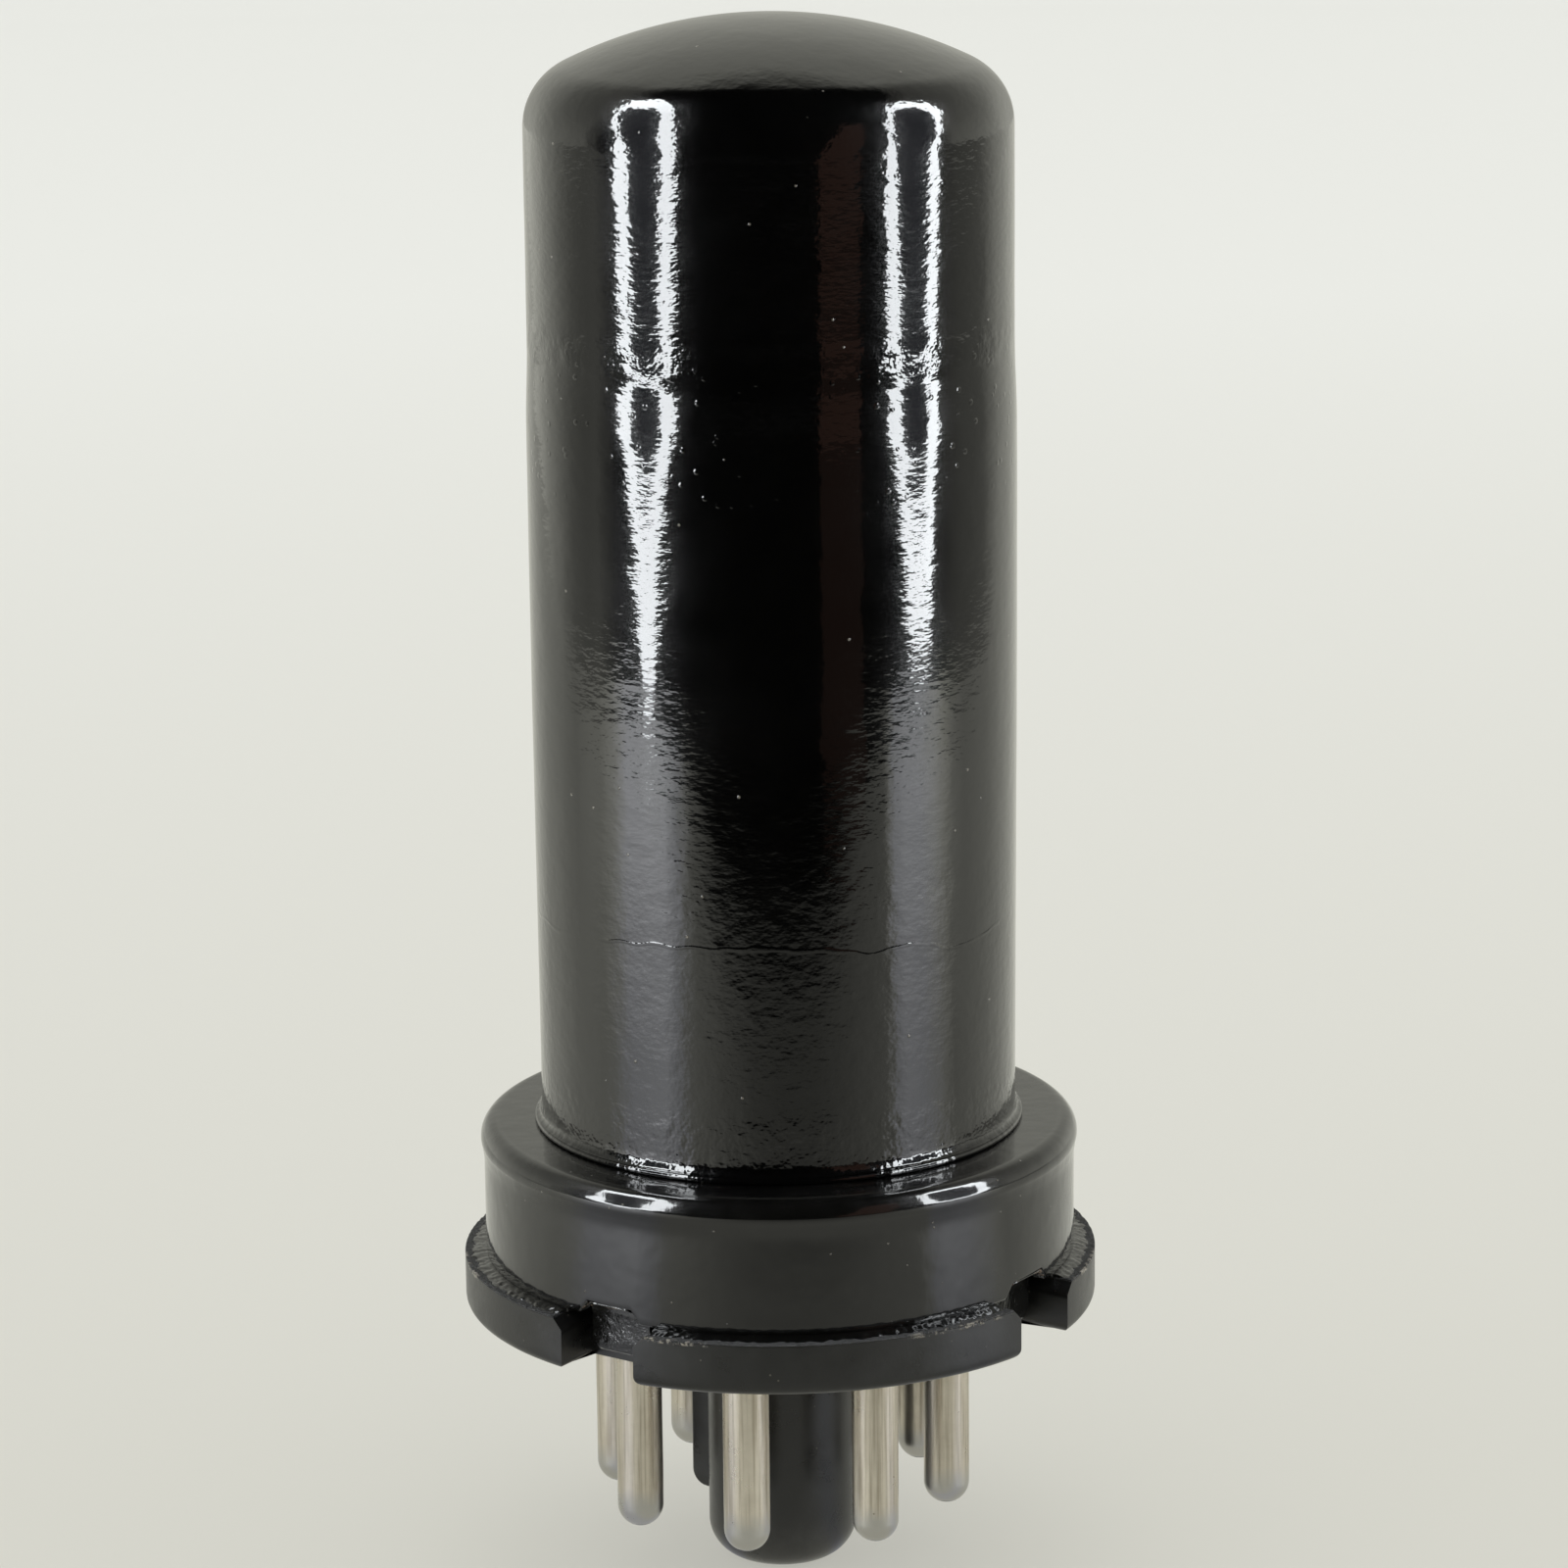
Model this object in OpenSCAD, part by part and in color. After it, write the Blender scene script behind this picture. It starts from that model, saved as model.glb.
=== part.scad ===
// Twin triode tube with an all-metal envelope and an octal base.
// Millimetres. The tube's axis is Z, pins down. The origin is on the axis at the seating plane,
// the wafer's underside, and the guide post's key points to +Y.

/* [Can] */
// Outer radius of the drawn can's wall
can_r = 12.18; // [11.8:0.02:12.4]
// How far the wall swells out at mid height
can_swell = 0.11; // [0.04:0.01:0.2]
// Height of the swelling's upper end above the seating plane
swell_top = 50; // [44:0.5:55]
// Length over which the swelling rises at its upper end
swell_rise = 4; // [2:0.5:8]
// Length of the swelling at its full radius
swell_l = 11; // [6:0.5:20]
// Height of the dome's top above the seating plane
can_top = 66.2; // [62:0.1:90]
// Radius of curvature of the dome
dome_r = 23.5; // [18:0.5:40]
// Radius of the rounded shoulder between dome and wall
shoulder_r = 3.4; // [2:0.1:5]
// How far the weld flange stands out from the wall
foot_w = 0.4; // [0.3:0.05:0.6]
// Thickness of the weld flange
foot_t = 0.4; // [0.3:0.05:0.5]
// Radius of the bend between wall and weld flange
foot_bend = 0.15; // [0.05:0.01:0.18]

/* [Header] */
// Height of the header's top face above the seating plane
header_top = 9.7; // [9:0.1:14]
// Thickness of the header's disc
disc_t = 1.2; // [0.9:0.1:1.6]
// Outer radius of the skirt
skirt_r = 15.2; // [14.9:0.05:15.6]
// Sheet thickness of the skirt
skirt_t = 0.8; // [0.6:0.05:0.9]
// Outer radius of the rolled shoulder
roll_r = 0.9; // [0.7:0.1:1.3]
// How far the bead at the shoulder stands out from the skirt
bead_out = 0.16; // [0.06:0.02:0.24]
// Gap left between the skirt's edge and the wafer's flange
seam_gap = 0.1; // [0.05:0.05:0.2]

/* [Crimp lock] */
// Width of the four tongues that lock the wafer
tab_w = 3.5; // [3.2:0.1:3.7]
// How much narrower a tongue is at its bend, on each side
tab_taper = 0.55; // [0.3:0.05:0.7]
// Slot left on each side of a tongue
tab_slot = 0.15; // [0.1:0.05:0.2]
// Height of a tongue's bend above the skirt's edge
tab_rise = 0.7; // [0.5:0.05:0.9]
// Angle at which a tongue slopes down and in under the wafer's ledge
tab_slope = 30; // [25:1:35]
// Height of a tongue's end above the seating plane
tab_end = 0.7; // [0.5:0.1:1.2]
// Gap between a tongue and the wafer
tab_gap = 0.1; // [0.05:0.01:0.15]

/* [Base wafer] */
// Radius of the wafer's flange
wafer_r = 16.3; // [16:0.05:16.8]
// Thickness of the wafer's flange
wafer_t = 2.7; // [2.6:0.1:3]
// Thickness of the wafer's floor, which carries the pins
floor_t = 2.4; // [2:0.1:2.5]
// Rounding of the flange's lower edge
wafer_round = 0.5; // [0.2:0.05:0.8]
// Wall of the spigot that fits inside the skirt
spigot_wall = 2.3; // [2:0.1:2.6]
// Height of the spigot's top above the flange
spigot_h = 3.6; // [2.8:0.1:3.7]
// Clearance between the spigot and the skirt
spigot_gap = 0.1; // [0.05:0.01:0.15]
// Width of the four notches
notch_w = 4.4; // [4.2:0.1:4.8]
// Radius from the axis to the floor of a notch
notch_r = 13.2; // [13.1:0.05:13.4]
// Chamfer on the notch's upper corners
notch_bevel = 0.6; // [0.3:0.05:0.8]
// Rounding on the notch's lower corners
notch_round = 0.5; // [0.2:0.05:0.7]

/* [Guide post] */
// Radius of the guide post
post_r = 3.85; // [3.7:0.05:4]
// Length of the guide post below the seating plane
post_l = 14.3; // [13.6:0.1:15]
// Radius of the post's rounded end
post_round = 1.95; // [1:0.05:2.2]
// Wall of the hollow post
post_wall = 1.35; // [1.2:0.05:1.45]
// Thickness of the post's closed end
post_end_t = 2.1; // [1.6:0.1:2.4]
// Width of the key
key_w = 2.1; // [1.8:0.05:2.4]
// Radius from the axis to the key's outer face
key_r = 5.1; // [4.9:0.05:5.3]
// How far the key ends short of the post's end
key_short = 3; // [2.4:0.1:3.4]
// Rounding of the key's lower corner
key_round = 0.8; // [0.3:0.05:0.9]

/* [Pins] */
// Diameter of the circle of pins
pin_circle = 17.45; // [17.2:0.05:17.6]
// Outer radius of a pin
pin_r = 1.18; // [1.1:0.01:1.22]
// Wall of the hollow pin
pin_wall = 0.28; // [0.2:0.01:0.32]
// Length of a pin below the seating plane
pin_l = 11; // [10:0.1:11.6]
// How far a pin's swaged lip stands out from the pin
pin_lip_w = 0.5; // [0.3:0.05:0.7]
// Thickness of the swaged lip
pin_lip_t = 0.35; // [0.25:0.05:0.5]
// Radius of the hole in a pin's rounded tip
tip_hole_r = 0.62; // [0.5:0.02:0.7]
// Height to which solder fills the pin
solder_h = 3; // [2:0.1:5]

/* [Leads] */
// Radius of the circle of eyelets in the header
eyelet_circle_r = 7.6; // [7.3:0.05:8]
// Outer radius of an eyelet
eyelet_r = 1.75; // [1.6:0.05:1.85]
// Wall of an eyelet
eyelet_wall = 0.25; // [0.2:0.05:0.35]
// Length of an eyelet
eyelet_l = 2.6; // [2.2:0.1:3]
// How far an eyelet's flange stands out
eyelet_lip_w = 0.35; // [0.2:0.05:0.45]
// Thickness of the eyelet's flange
eyelet_lip_t = 0.3; // [0.2:0.05:0.4]
// Radius of a lead wire
lead_r = 0.35; // [0.25:0.01:0.4]
// Radius of the two bends in a lead, along the wire's middle
lead_bend_r = 1; // [0.8:0.1:1.2]
// How far the wire's radius grows in its bends
bend_swell = 0.01; // [0.01:0.005:0.02]
// Angle at which a lead steps out from its eyelet to its pin
lead_tilt = 45; // [40:1:50]
// How far a lead ends above its pin's tip
lead_short = 0.6; // [0.4:0.1:1.2]
// Radius of the shell lead's weld pad
pad_r = 0.9; // [0.6:0.05:1.2]
// Thickness of the weld pad
pad_t = 0.3; // [0.2:0.05:0.4]

/* [Exhaust tube] */
// Outer radius of the exhaust tube
exhaust_r = 1.3; // [1.1:0.05:1.35]
// Wall of the exhaust tube
exhaust_wall = 0.3; // [0.2:0.05:0.35]
// Depth of the pinched end below the seating plane
exhaust_l = 9; // [6:0.1:10.5]
// Length of the pinched part
pinch_l = 3; // [2:0.1:4]
// Thickness of the pinched edge
pinch_t = 0.7; // [0.6:0.05:0.9]

/* [Fits] */
// Clearance round a piece that is set in a hole
set_gap = 0.02; // [0.01:0.01:0.03]

/* [Hidden] */
$fn = 96;

// Cuts run this far past the faces that they open
past = 1;
// A straight run of wire laps this far into a bend
wire_lap = 0.04;
// The inside of a pressed corner is rounded by at least this
least_round = 0.2;
sides = 4;

// The dome's arc and the shoulder's arc meet where both have the same tangent
dome_z = can_top - dome_r;
shoulder_x = can_r - shoulder_r;
shoulder_z = dome_z + sqrt(pow(dome_r - shoulder_r, 2) - pow(shoulder_x, 2));
dome_half = asin(shoulder_x / (dome_r - shoulder_r));
foot_z = header_top + foot_t;
swell_bottom = foot_z + 2 * foot_bend;

disc_z = header_top - disc_t;
skirt_z = wafer_t + seam_gap;
skirt_in_r = skirt_r - skirt_t;
roll_in_r = max(least_round, roll_r - skirt_t);
bend_z = skirt_z + tab_rise;
tab_in_r = notch_r + tab_gap;
tab_r = tab_in_r + skirt_t;

spigot_r = skirt_in_r - spigot_gap;
cavity_r = spigot_r - spigot_wall;
spigot_z = wafer_t + spigot_h;
post_bore_r = post_r - post_wall;

pin_ring_r = pin_circle / 2;
pin_bore_r = pin_r - pin_wall;
pin_end_z = -(pin_l - pin_r);
pin_top_z = floor_t + pin_lip_t;

eyelet_z = header_top - eyelet_l;
lead_bend_z = eyelet_z - 2 * lead_r;
lead_step = (pin_ring_r - eyelet_circle_r - 2 * lead_bend_r * (1 - cos(lead_tilt))) / sin(lead_tilt);
lead_turn_z = lead_bend_z - 2 * lead_bend_r * sin(lead_tilt) - lead_step * cos(lead_tilt);
lead_end_z = -(pin_l - lead_short);

// Direction of pin k from the axis: pin 1 is next to the key, and the numbers
// run clockwise when the pins are seen from below
function pin_angle(k) = 90 + (k - 0.5) * 360 / 8;

module at_pin(k) {
    rotate(pin_angle(k)) translate([pin_ring_r, 0, 0]) children();
}

module at_eyelet(k) {
    rotate(pin_angle(k)) translate([eyelet_circle_r, 0, 0]) children();
}

module at_notches() {
    for (a = [0:360 / sides:359]) rotate(a) children();
}

// A rectangle in section, from radius r0 to r1 and from height z0 to z1
module band(r0, r1, z0, z1) {
    translate([r0, z0]) square([r1 - r0, z1 - z0]);
}

// The part of a section on the outer side of the axis
module half_section(low, high, reach) {
    intersection() {
        children();
        band(0, reach, low, high);
    }
}

// A slab whose section is drawn in radius and height, as wide as w across the radius
module radial_slab(w) {
    rotate([90, 0, 0]) linear_extrude(height = w, center = true) children();
}

module dome_section() {
    tangent_x = dome_r * sin(dome_half);
    tangent_z = dome_z + dome_r * cos(dome_half);
    intersection() {
        translate([0, dome_z]) circle(r = dome_r);
        polygon([
            [0, shoulder_z - past], [shoulder_x, shoulder_z - past], [shoulder_x, shoulder_z],
            [tangent_x, tangent_z], [tangent_x, can_top + past], [0, can_top + past]
        ]);
    }
}

// The wall swells over a short rise at its upper end and narrows slowly below
module wall_section() {
    full_r = can_r + can_swell;
    polygon([
        [0, header_top], [can_r, header_top], [can_r, swell_bottom],
        [full_r, swell_top - swell_rise - swell_l], [full_r, swell_top - swell_rise],
        [can_r, swell_top], [can_r, shoulder_z], [0, shoulder_z]
    ]);
}

module foot_section() {
    band(0, can_r + foot_w - foot_t / 2, header_top, foot_z);
    translate([can_r + foot_w - foot_t / 2, header_top + foot_t / 2]) circle(r = foot_t / 2);
    difference() {
        band(0, can_r + foot_bend, foot_z - foot_t / 2, foot_z + foot_bend);
        translate([can_r + foot_bend, foot_z + foot_bend]) circle(r = foot_bend);
    }
}

module envelope() {
    color("#1b1b1d") rotate_extrude() union() {
        wall_section();
        half_section(shoulder_z, can_top, can_r) {
            translate([shoulder_x, shoulder_z]) circle(r = shoulder_r);
        }
        dome_section();
        foot_section();
    }
}

module header_section() {
    roll_x = skirt_r + bead_out - roll_r;
    difference() {
        union() {
            band(0, skirt_r, skirt_z, header_top - roll_r);
            band(0, roll_x, skirt_z, header_top);
            translate([roll_x, header_top - roll_r]) circle(r = roll_r);
        }
        band(-past, skirt_in_r, skirt_z - past, disc_z - roll_in_r);
        band(-past, skirt_in_r - roll_in_r, skirt_z - past, disc_z);
        translate([skirt_in_r - roll_in_r, disc_z - roll_in_r]) circle(r = roll_in_r);
    }
}

// A tongue seen along the radius, from low to high: it narrows from the skirt's edge to its bend
module tab_outline(low, high, slot) {
    wide = tab_w / 2 + slot;
    slim = wide - tab_taper;
    polygon([
        [-wide, low], [wide, low], [wide, skirt_z], [slim, bend_z], [slim, high],
        [-slim, high], [-slim, bend_z], [-wide, skirt_z]
    ]);
}

// One tongue of the skirt, bent in under the wafer's ledge and then down along the notch's floor
module crimp_tab() {
    rise = tan(tab_slope);
    over = skirt_t / cos(tab_slope);
    top_z = bend_z + skirt_t * cos(tab_slope);
    intersection() {
        radial_slab(notch_w) polygon([
            [skirt_r, bend_z], [tab_r, bend_z - (skirt_r - tab_r) * rise],
            [tab_r, tab_end], [tab_in_r, tab_end],
            [tab_in_r, bend_z - (skirt_r - tab_in_r) * rise + over],
            [skirt_r - skirt_t * sin(tab_slope), top_z]
        ]);
        translate([tab_in_r - past, 0, 0]) rotate([90, 0, 90]) {
            linear_extrude(height = skirt_r) tab_outline(tab_end - past, top_z + past, 0);
        }
    }
}

module header() {
    color("#26262a") {
        difference() {
            rotate_extrude() header_section();
            translate([0, 0, disc_z - past]) cylinder(r = exhaust_r + set_gap, h = disc_t + 2 * past);
            for (k = [2:8]) at_eyelet(k) {
                translate([0, 0, disc_z - past]) cylinder(r = eyelet_r + set_gap, h = disc_t + 2 * past);
            }
            at_notches() translate([notch_r, 0, 0]) rotate([90, 0, 90]) {
                linear_extrude(height = skirt_r) tab_outline(skirt_z - past, bend_z, tab_slot);
            }
        }
        at_notches() crimp_tab();
    }
}

module wafer_section() {
    difference() {
        union() {
            band(0, wafer_r - wafer_round, 0, wafer_t);
            band(0, wafer_r, wafer_round, wafer_t);
            translate([wafer_r - wafer_round, wafer_round]) circle(r = wafer_round);
            band(0, spigot_r, floor_t, spigot_z);
            band(0, post_r, post_round - post_l, wafer_round);
            band(0, post_r - post_round, -post_l, wafer_round);
            half_section(-post_l, 0, post_r) {
                translate([post_r - post_round, post_round - post_l]) circle(r = post_round);
            }
        }
        band(-past, cavity_r, floor_t, spigot_z + past);
        band(-past, post_bore_r, post_end_t - post_l, floor_t + past);
    }
}

// The notch seen along the radius: parallel sides, bevelled above and rounded below
module notch_outline() {
    half = notch_w / 2;
    difference() {
        union() {
            translate([-half, -past]) square([notch_w, wafer_t + 2 * past]);
            polygon([
                [-half - notch_bevel - past, wafer_t + past], [-half, wafer_t - notch_bevel],
                [half, wafer_t - notch_bevel], [half + notch_bevel + past, wafer_t + past]
            ]);
            translate([-half - notch_round, -past]) square([notch_w + 2 * notch_round, past + notch_round]);
        }
        for (s = [-1, 1]) translate([s * (half + notch_round), notch_round]) circle(r = notch_round);
    }
}

// The room that a bent tongue needs in the spigot, with a sloped ledge above it
module tab_pocket() {
    rise = tan(tab_slope);
    ledge_z = bend_z - (skirt_r - notch_r) * rise + (skirt_t + tab_gap) / cos(tab_slope);
    far = skirt_r + past;
    radial_slab(notch_w) polygon([
        [notch_r, -past], [far, -past], [far, ledge_z + (far - notch_r) * rise],
        [notch_r, ledge_z]
    ]);
}

module guide_key() {
    end_z = key_short - post_l;
    radial_slab(key_w) difference() {
        band(0, key_r, end_z, floor_t / 2);
        difference() {
            band(key_r - key_round, key_r + past, end_z - past, end_z + key_round);
            translate([key_r - key_round, end_z + key_round]) circle(r = key_round);
        }
    }
}

module base_wafer() {
    color("#1f1f21") difference() {
        union() {
            rotate_extrude() wafer_section();
            difference() {
                rotate(90) guide_key();
                translate([0, 0, post_end_t - post_l]) cylinder(r = post_bore_r, h = post_l + floor_t);
            }
        }
        for (k = [1:8]) at_pin(k) {
            translate([0, 0, -past]) cylinder(r = pin_r + set_gap, h = floor_t + 2 * past);
        }
        at_notches() {
            translate([notch_r, 0, 0]) rotate([90, 0, 90]) {
                linear_extrude(height = wafer_r) notch_outline();
            }
            tab_pocket();
        }
    }
}

module pin(k) {
    color("#b9b2a3") at_pin(k) rotate_extrude() half_section(-pin_l, pin_top_z, pin_r + pin_lip_w) {
        difference() {
            union() {
                band(0, pin_r, pin_end_z, pin_top_z);
                band(0, pin_r + pin_lip_w, floor_t, pin_top_z);
                translate([0, pin_end_z]) circle(r = pin_r);
            }
            band(-past, pin_bore_r, pin_end_z, pin_top_z + past);
            translate([0, pin_end_z]) circle(r = pin_bore_r);
            band(-past, tip_hole_r, -pin_l - past, pin_end_z);
        }
    }
}

module solder(k) {
    fill_r = pin_bore_r - set_gap;
    color("#8f8f90") at_pin(k) rotate_extrude() half_section(-pin_l, solder_h - pin_l, pin_bore_r) {
        difference() {
            union() {
                band(0, fill_r, pin_end_z, solder_h - pin_l);
                translate([0, pin_end_z]) circle(r = fill_r);
                intersection() {
                    band(0, tip_hole_r - set_gap, -pin_l, pin_end_z);
                    translate([0, pin_end_z]) circle(r = pin_r);
                }
            }
            band(-past, lead_r + set_gap, lead_end_z, solder_h - pin_l + past);
        }
    }
}

// A straight run of lead wire, lapped into the bends at its ends
module wire_run(length) {
    translate([0, 0, -wire_lap]) cylinder(r = lead_r, h = length + 2 * wire_lap, $fn = 32);
}

// A bend of wire in the plane of radius and height, from level with its centre up by lead_tilt
module wire_bend() {
    rotate([90, 0, 0]) rotate_extrude(angle = lead_tilt) {
        translate([lead_bend_r, 0]) circle(r = lead_r + bend_swell, $fn = 32);
    }
}

// The wire leaves the eyelet straight down, steps out to the pin and runs down inside it
module lead(k) {
    top_z = k == 1 ? disc_z : header_top;
    color("#a58a5c") rotate(pin_angle(k)) {
        translate([eyelet_circle_r, 0, lead_bend_z - wire_lap]) {
            cylinder(r = lead_r, h = top_z - lead_bend_z + wire_lap, $fn = 32);
        }
        translate([eyelet_circle_r + lead_bend_r, 0, lead_bend_z]) rotate([0, 180, 0]) wire_bend();
        translate([
            eyelet_circle_r + lead_bend_r * (1 - cos(lead_tilt)), 0,
            lead_bend_z - lead_bend_r * sin(lead_tilt)
        ]) rotate([0, 180 - lead_tilt, 0]) wire_run(lead_step);
        translate([pin_ring_r - lead_bend_r, 0, lead_turn_z]) wire_bend();
        translate([pin_ring_r, 0, lead_end_z]) {
            cylinder(r = lead_r, h = lead_turn_z - lead_end_z + wire_lap, $fn = 32);
        }
        if (k == 1) translate([eyelet_circle_r, 0, disc_z - pad_t]) cylinder(r = pad_r, h = pad_t);
    }
}

module eyelet(k) {
    color("#8d9096") at_eyelet(k) rotate_extrude() difference() {
        union() {
            band(0, eyelet_r, eyelet_z, header_top);
            band(0, eyelet_r + eyelet_lip_w, disc_z - eyelet_lip_t, disc_z);
        }
        band(-past, eyelet_r - eyelet_wall, eyelet_z - past, header_top + past);
    }
}

module bead(k) {
    bead_r = eyelet_r - eyelet_wall - set_gap;
    color("#4f6f8f") at_eyelet(k) difference() {
        translate([0, 0, eyelet_z]) cylinder(r = bead_r, h = eyelet_l);
        translate([0, 0, eyelet_z - past]) cylinder(r = lead_r + set_gap, h = eyelet_l + 2 * past);
    }
}

module exhaust_tube() {
    pinch_z = pinch_l - exhaust_l;
    open_l = header_top - pinch_z;
    flat_w = exhaust_r * PI / 2;
    color("#9a9da2") {
        difference() {
            translate([0, 0, pinch_z]) cylinder(r = exhaust_r, h = open_l);
            translate([0, 0, pinch_z]) cylinder(r = exhaust_r - exhaust_wall, h = open_l + past);
        }
        hull() {
            translate([0, 0, pinch_z - exhaust_wall]) cylinder(r = exhaust_r, h = exhaust_wall, $fn = 32);
            translate([-flat_w, -pinch_t / 2, -exhaust_l]) cube([2 * flat_w, pinch_t, pinch_l / 3]);
        }
    }
}

envelope();
header();
base_wafer();
exhaust_tube();
for (k = [1:8]) {
    pin(k);
    solder(k);
    lead(k);
}
for (k = [2:8]) {
    eyelet(k);
    bead(k);
}
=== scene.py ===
"""The looks of a twin triode tube with an all-metal envelope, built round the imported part.

Sizes are written in millimetres and turned to metres by MM. Heights start at the seating plane,
the underside of the moulded base wafer, as they do in the part.
"""

import math

import bmesh
import bpy
import numpy as np
from mathutils import Matrix, Vector


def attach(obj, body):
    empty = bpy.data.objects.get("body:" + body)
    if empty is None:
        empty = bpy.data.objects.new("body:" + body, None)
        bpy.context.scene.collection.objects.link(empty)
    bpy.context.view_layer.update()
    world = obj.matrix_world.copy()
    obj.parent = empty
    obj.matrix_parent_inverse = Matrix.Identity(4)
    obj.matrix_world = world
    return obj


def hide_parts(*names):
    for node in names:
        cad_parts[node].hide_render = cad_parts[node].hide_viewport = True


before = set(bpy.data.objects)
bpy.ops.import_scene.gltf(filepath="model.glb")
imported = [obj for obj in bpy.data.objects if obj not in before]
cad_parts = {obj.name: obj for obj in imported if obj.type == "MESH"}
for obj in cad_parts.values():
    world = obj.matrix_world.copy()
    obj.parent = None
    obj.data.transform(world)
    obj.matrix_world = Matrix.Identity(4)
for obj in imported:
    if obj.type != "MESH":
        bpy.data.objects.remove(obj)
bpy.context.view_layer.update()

MM = 0.001
rng = np.random.default_rng(11)

# The drawn can
CAN_R, CAN_TOP = 12.18, 66.2
SWELL = 0.11
SWELL_LOW, SWELL_FULL_LOW, SWELL_FULL_TOP, SWELL_TOP = 11.5, 35.0, 46.0, 50.0
DOME_R, SHOULDER_R, SHOULDER_Z = 23.5, 3.4, 60.781
FOOT_R, FOOT_EDGE = 12.55, 0.17
FLARE = [(12.46, 10.05), (12.36, 10.1), (12.27, 10.19), (12.215, 10.32), (12.19, 10.5)]
WALL_ROWS, CAN_COLUMNS = 180, 288

# The marks in the can's enamel, as heights: the sharpest draw lines, the belt where the wall was
# last gripped, the craters under it, the runs, the fold, and the thick coat on the lower can
DRAWN_LOW, DRAWN_TOP = 52.0, 62.0
GRIP_LOW, GRIP_TOP = 50.2, 50.9
CRATERS_LOW, CRATERS_TOP = 44.5, 49.5
RUNS_LOW, RUNS_TOP = 33.0, 36.5
FOLD_Z = 22.5
THICK_LOW, THICK_TOP, THICK_FOOT = 9.0, 22.0, 12.0

# The header cup with its crimp lock
HEADER_TOP, DISC_Z = 9.7, 8.5
SKIRT_R, SKIRT_IN_R, SKIRT_Z, SHEET = 15.2, 14.4, 2.8, 0.8
ROLL_R, ROLL_X, ROLL_IN_R = 0.9, 14.46, 0.2
BEND_Z, BEND_SLOPE = 3.5, math.radians(30)
WINDOW_SLIM, WINDOW_WIDE = 1.35, 1.9
TONGUE_SLIM, TONGUE_WIDE, TONGUE_R, TONGUE_END = 1.2, 1.75, 14.1, 0.7
EYELET_CIRCLE_R, EYELET_HOLE_R, EXHAUST_HOLE_R = 7.6, 1.77, 1.32

# The moulded wafer with its guide post
WAFER_R, WAFER_T, WAFER_ROUND = 16.3, 2.7, 0.5
NOTCH_HALF, NOTCH_R, NOTCH_BEVEL = 2.2, 13.2, 0.6
CAVITY_R, SPIGOT_TOP = 12.0, 6.3
POST_R, POST_L, POST_ROUND = 3.85, 14.3, 1.95
KEY_HALF, KEY_R, KEY_END, KEY_ROUND = 1.05, 5.1, -11.3, 0.8

# The eight pins
PIN_RING_R, PIN_R, PIN_L, PIN_WALL = 8.725, 1.18, 11.0, 0.28
PIN_LIP_R, PIN_LIP_LOW, PIN_LIP_TOP = 1.68, 2.4, 2.75
TIP_HOLE_R = 0.62

# The photographed side: the part's own azimuth at which the camera stands
PHOTO_TURN = math.radians(-55.5)


def linear(code):
    """An sRGB hex colour as linear RGBA."""
    parts = [int(code[i:i + 2], 16) / 255 for i in (1, 3, 5)]
    return tuple(c / 12.92 if c <= 0.04045 else ((c + 0.055) / 1.055) ** 2.4 for c in parts) + (1.0,)


def per_mm(size):
    """The scale at which a pattern repeats every size millimetres."""
    return 1 / (size * MM)


def node(tree, kind, inputs=None, **settings):
    """Adds a node. An input is a constant, a socket, or a node whose first output is meant."""
    made = tree.nodes.new(kind)
    for name, value in settings.items():
        setattr(made, name, value)
    for key, value in (inputs or {}).items():
        if isinstance(value, bpy.types.Node):
            value = value.outputs[0]
        if isinstance(value, bpy.types.NodeSocket):
            tree.links.new(value, made.inputs[key])
        else:
            made.inputs[key].default_value = value
    return made


def material(name, **constants):
    """A material whose shader holds the constants, and the place of a point in the part's frame."""
    made = bpy.data.materials.new(name)
    made.use_nodes = True
    tree = made.node_tree
    shader = tree.nodes["Principled BSDF"]
    for key, value in constants.items():
        shader.inputs[key.replace("_", " ")].default_value = value
    place = node(tree, "ShaderNodeTexCoord").outputs["Object"]
    return made, tree, shader, place


def colour_surface(tree, shader, pattern, first, second, layers=()):
    """Mixes two tones by a pattern, then lays each further colour over them where its own pattern
    is 1. A colour is a hex code or a socket."""
    tone = node(tree, "ShaderNodeMix", {0: pattern, 6: linear(first), 7: linear(second)},
                data_type="RGBA")
    for where, colour in layers:
        over = linear(colour) if isinstance(colour, str) else colour
        tone = node(tree, "ShaderNodeMix", {0: where, 6: tone.outputs[2], 7: over}, data_type="RGBA")
    tree.links.new(tone.outputs[2], shader.inputs["Base Color"])


def raise_surface(tree, shader, layers, *sockets):
    """Stacks bump layers, each a height from 0 to 1 and its real depth in millimetres."""
    under = None
    for height, depth in layers:
        inputs = {"Height": height, "Distance": depth * MM, "Strength": 1.0}
        if under:
            inputs["Normal"] = under
        under = node(tree, "ShaderNodeBump", inputs)
    for socket in ("Normal",) + sockets:
        tree.links.new(under.outputs[0], shader.inputs[socket])


def height_and_radius(tree, place):
    """A point's height above the seating plane and its distance from the tube's axis, in metres."""
    split = node(tree, "ShaderNodeSeparateXYZ", {0: place})
    flat = node(tree, "ShaderNodeCombineXYZ", {0: split.outputs[0], 1: split.outputs[1]})
    away = node(tree, "ShaderNodeVectorMath", {0: flat}, operation="LENGTH")
    return split.outputs[2], away.outputs["Value"]


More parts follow.
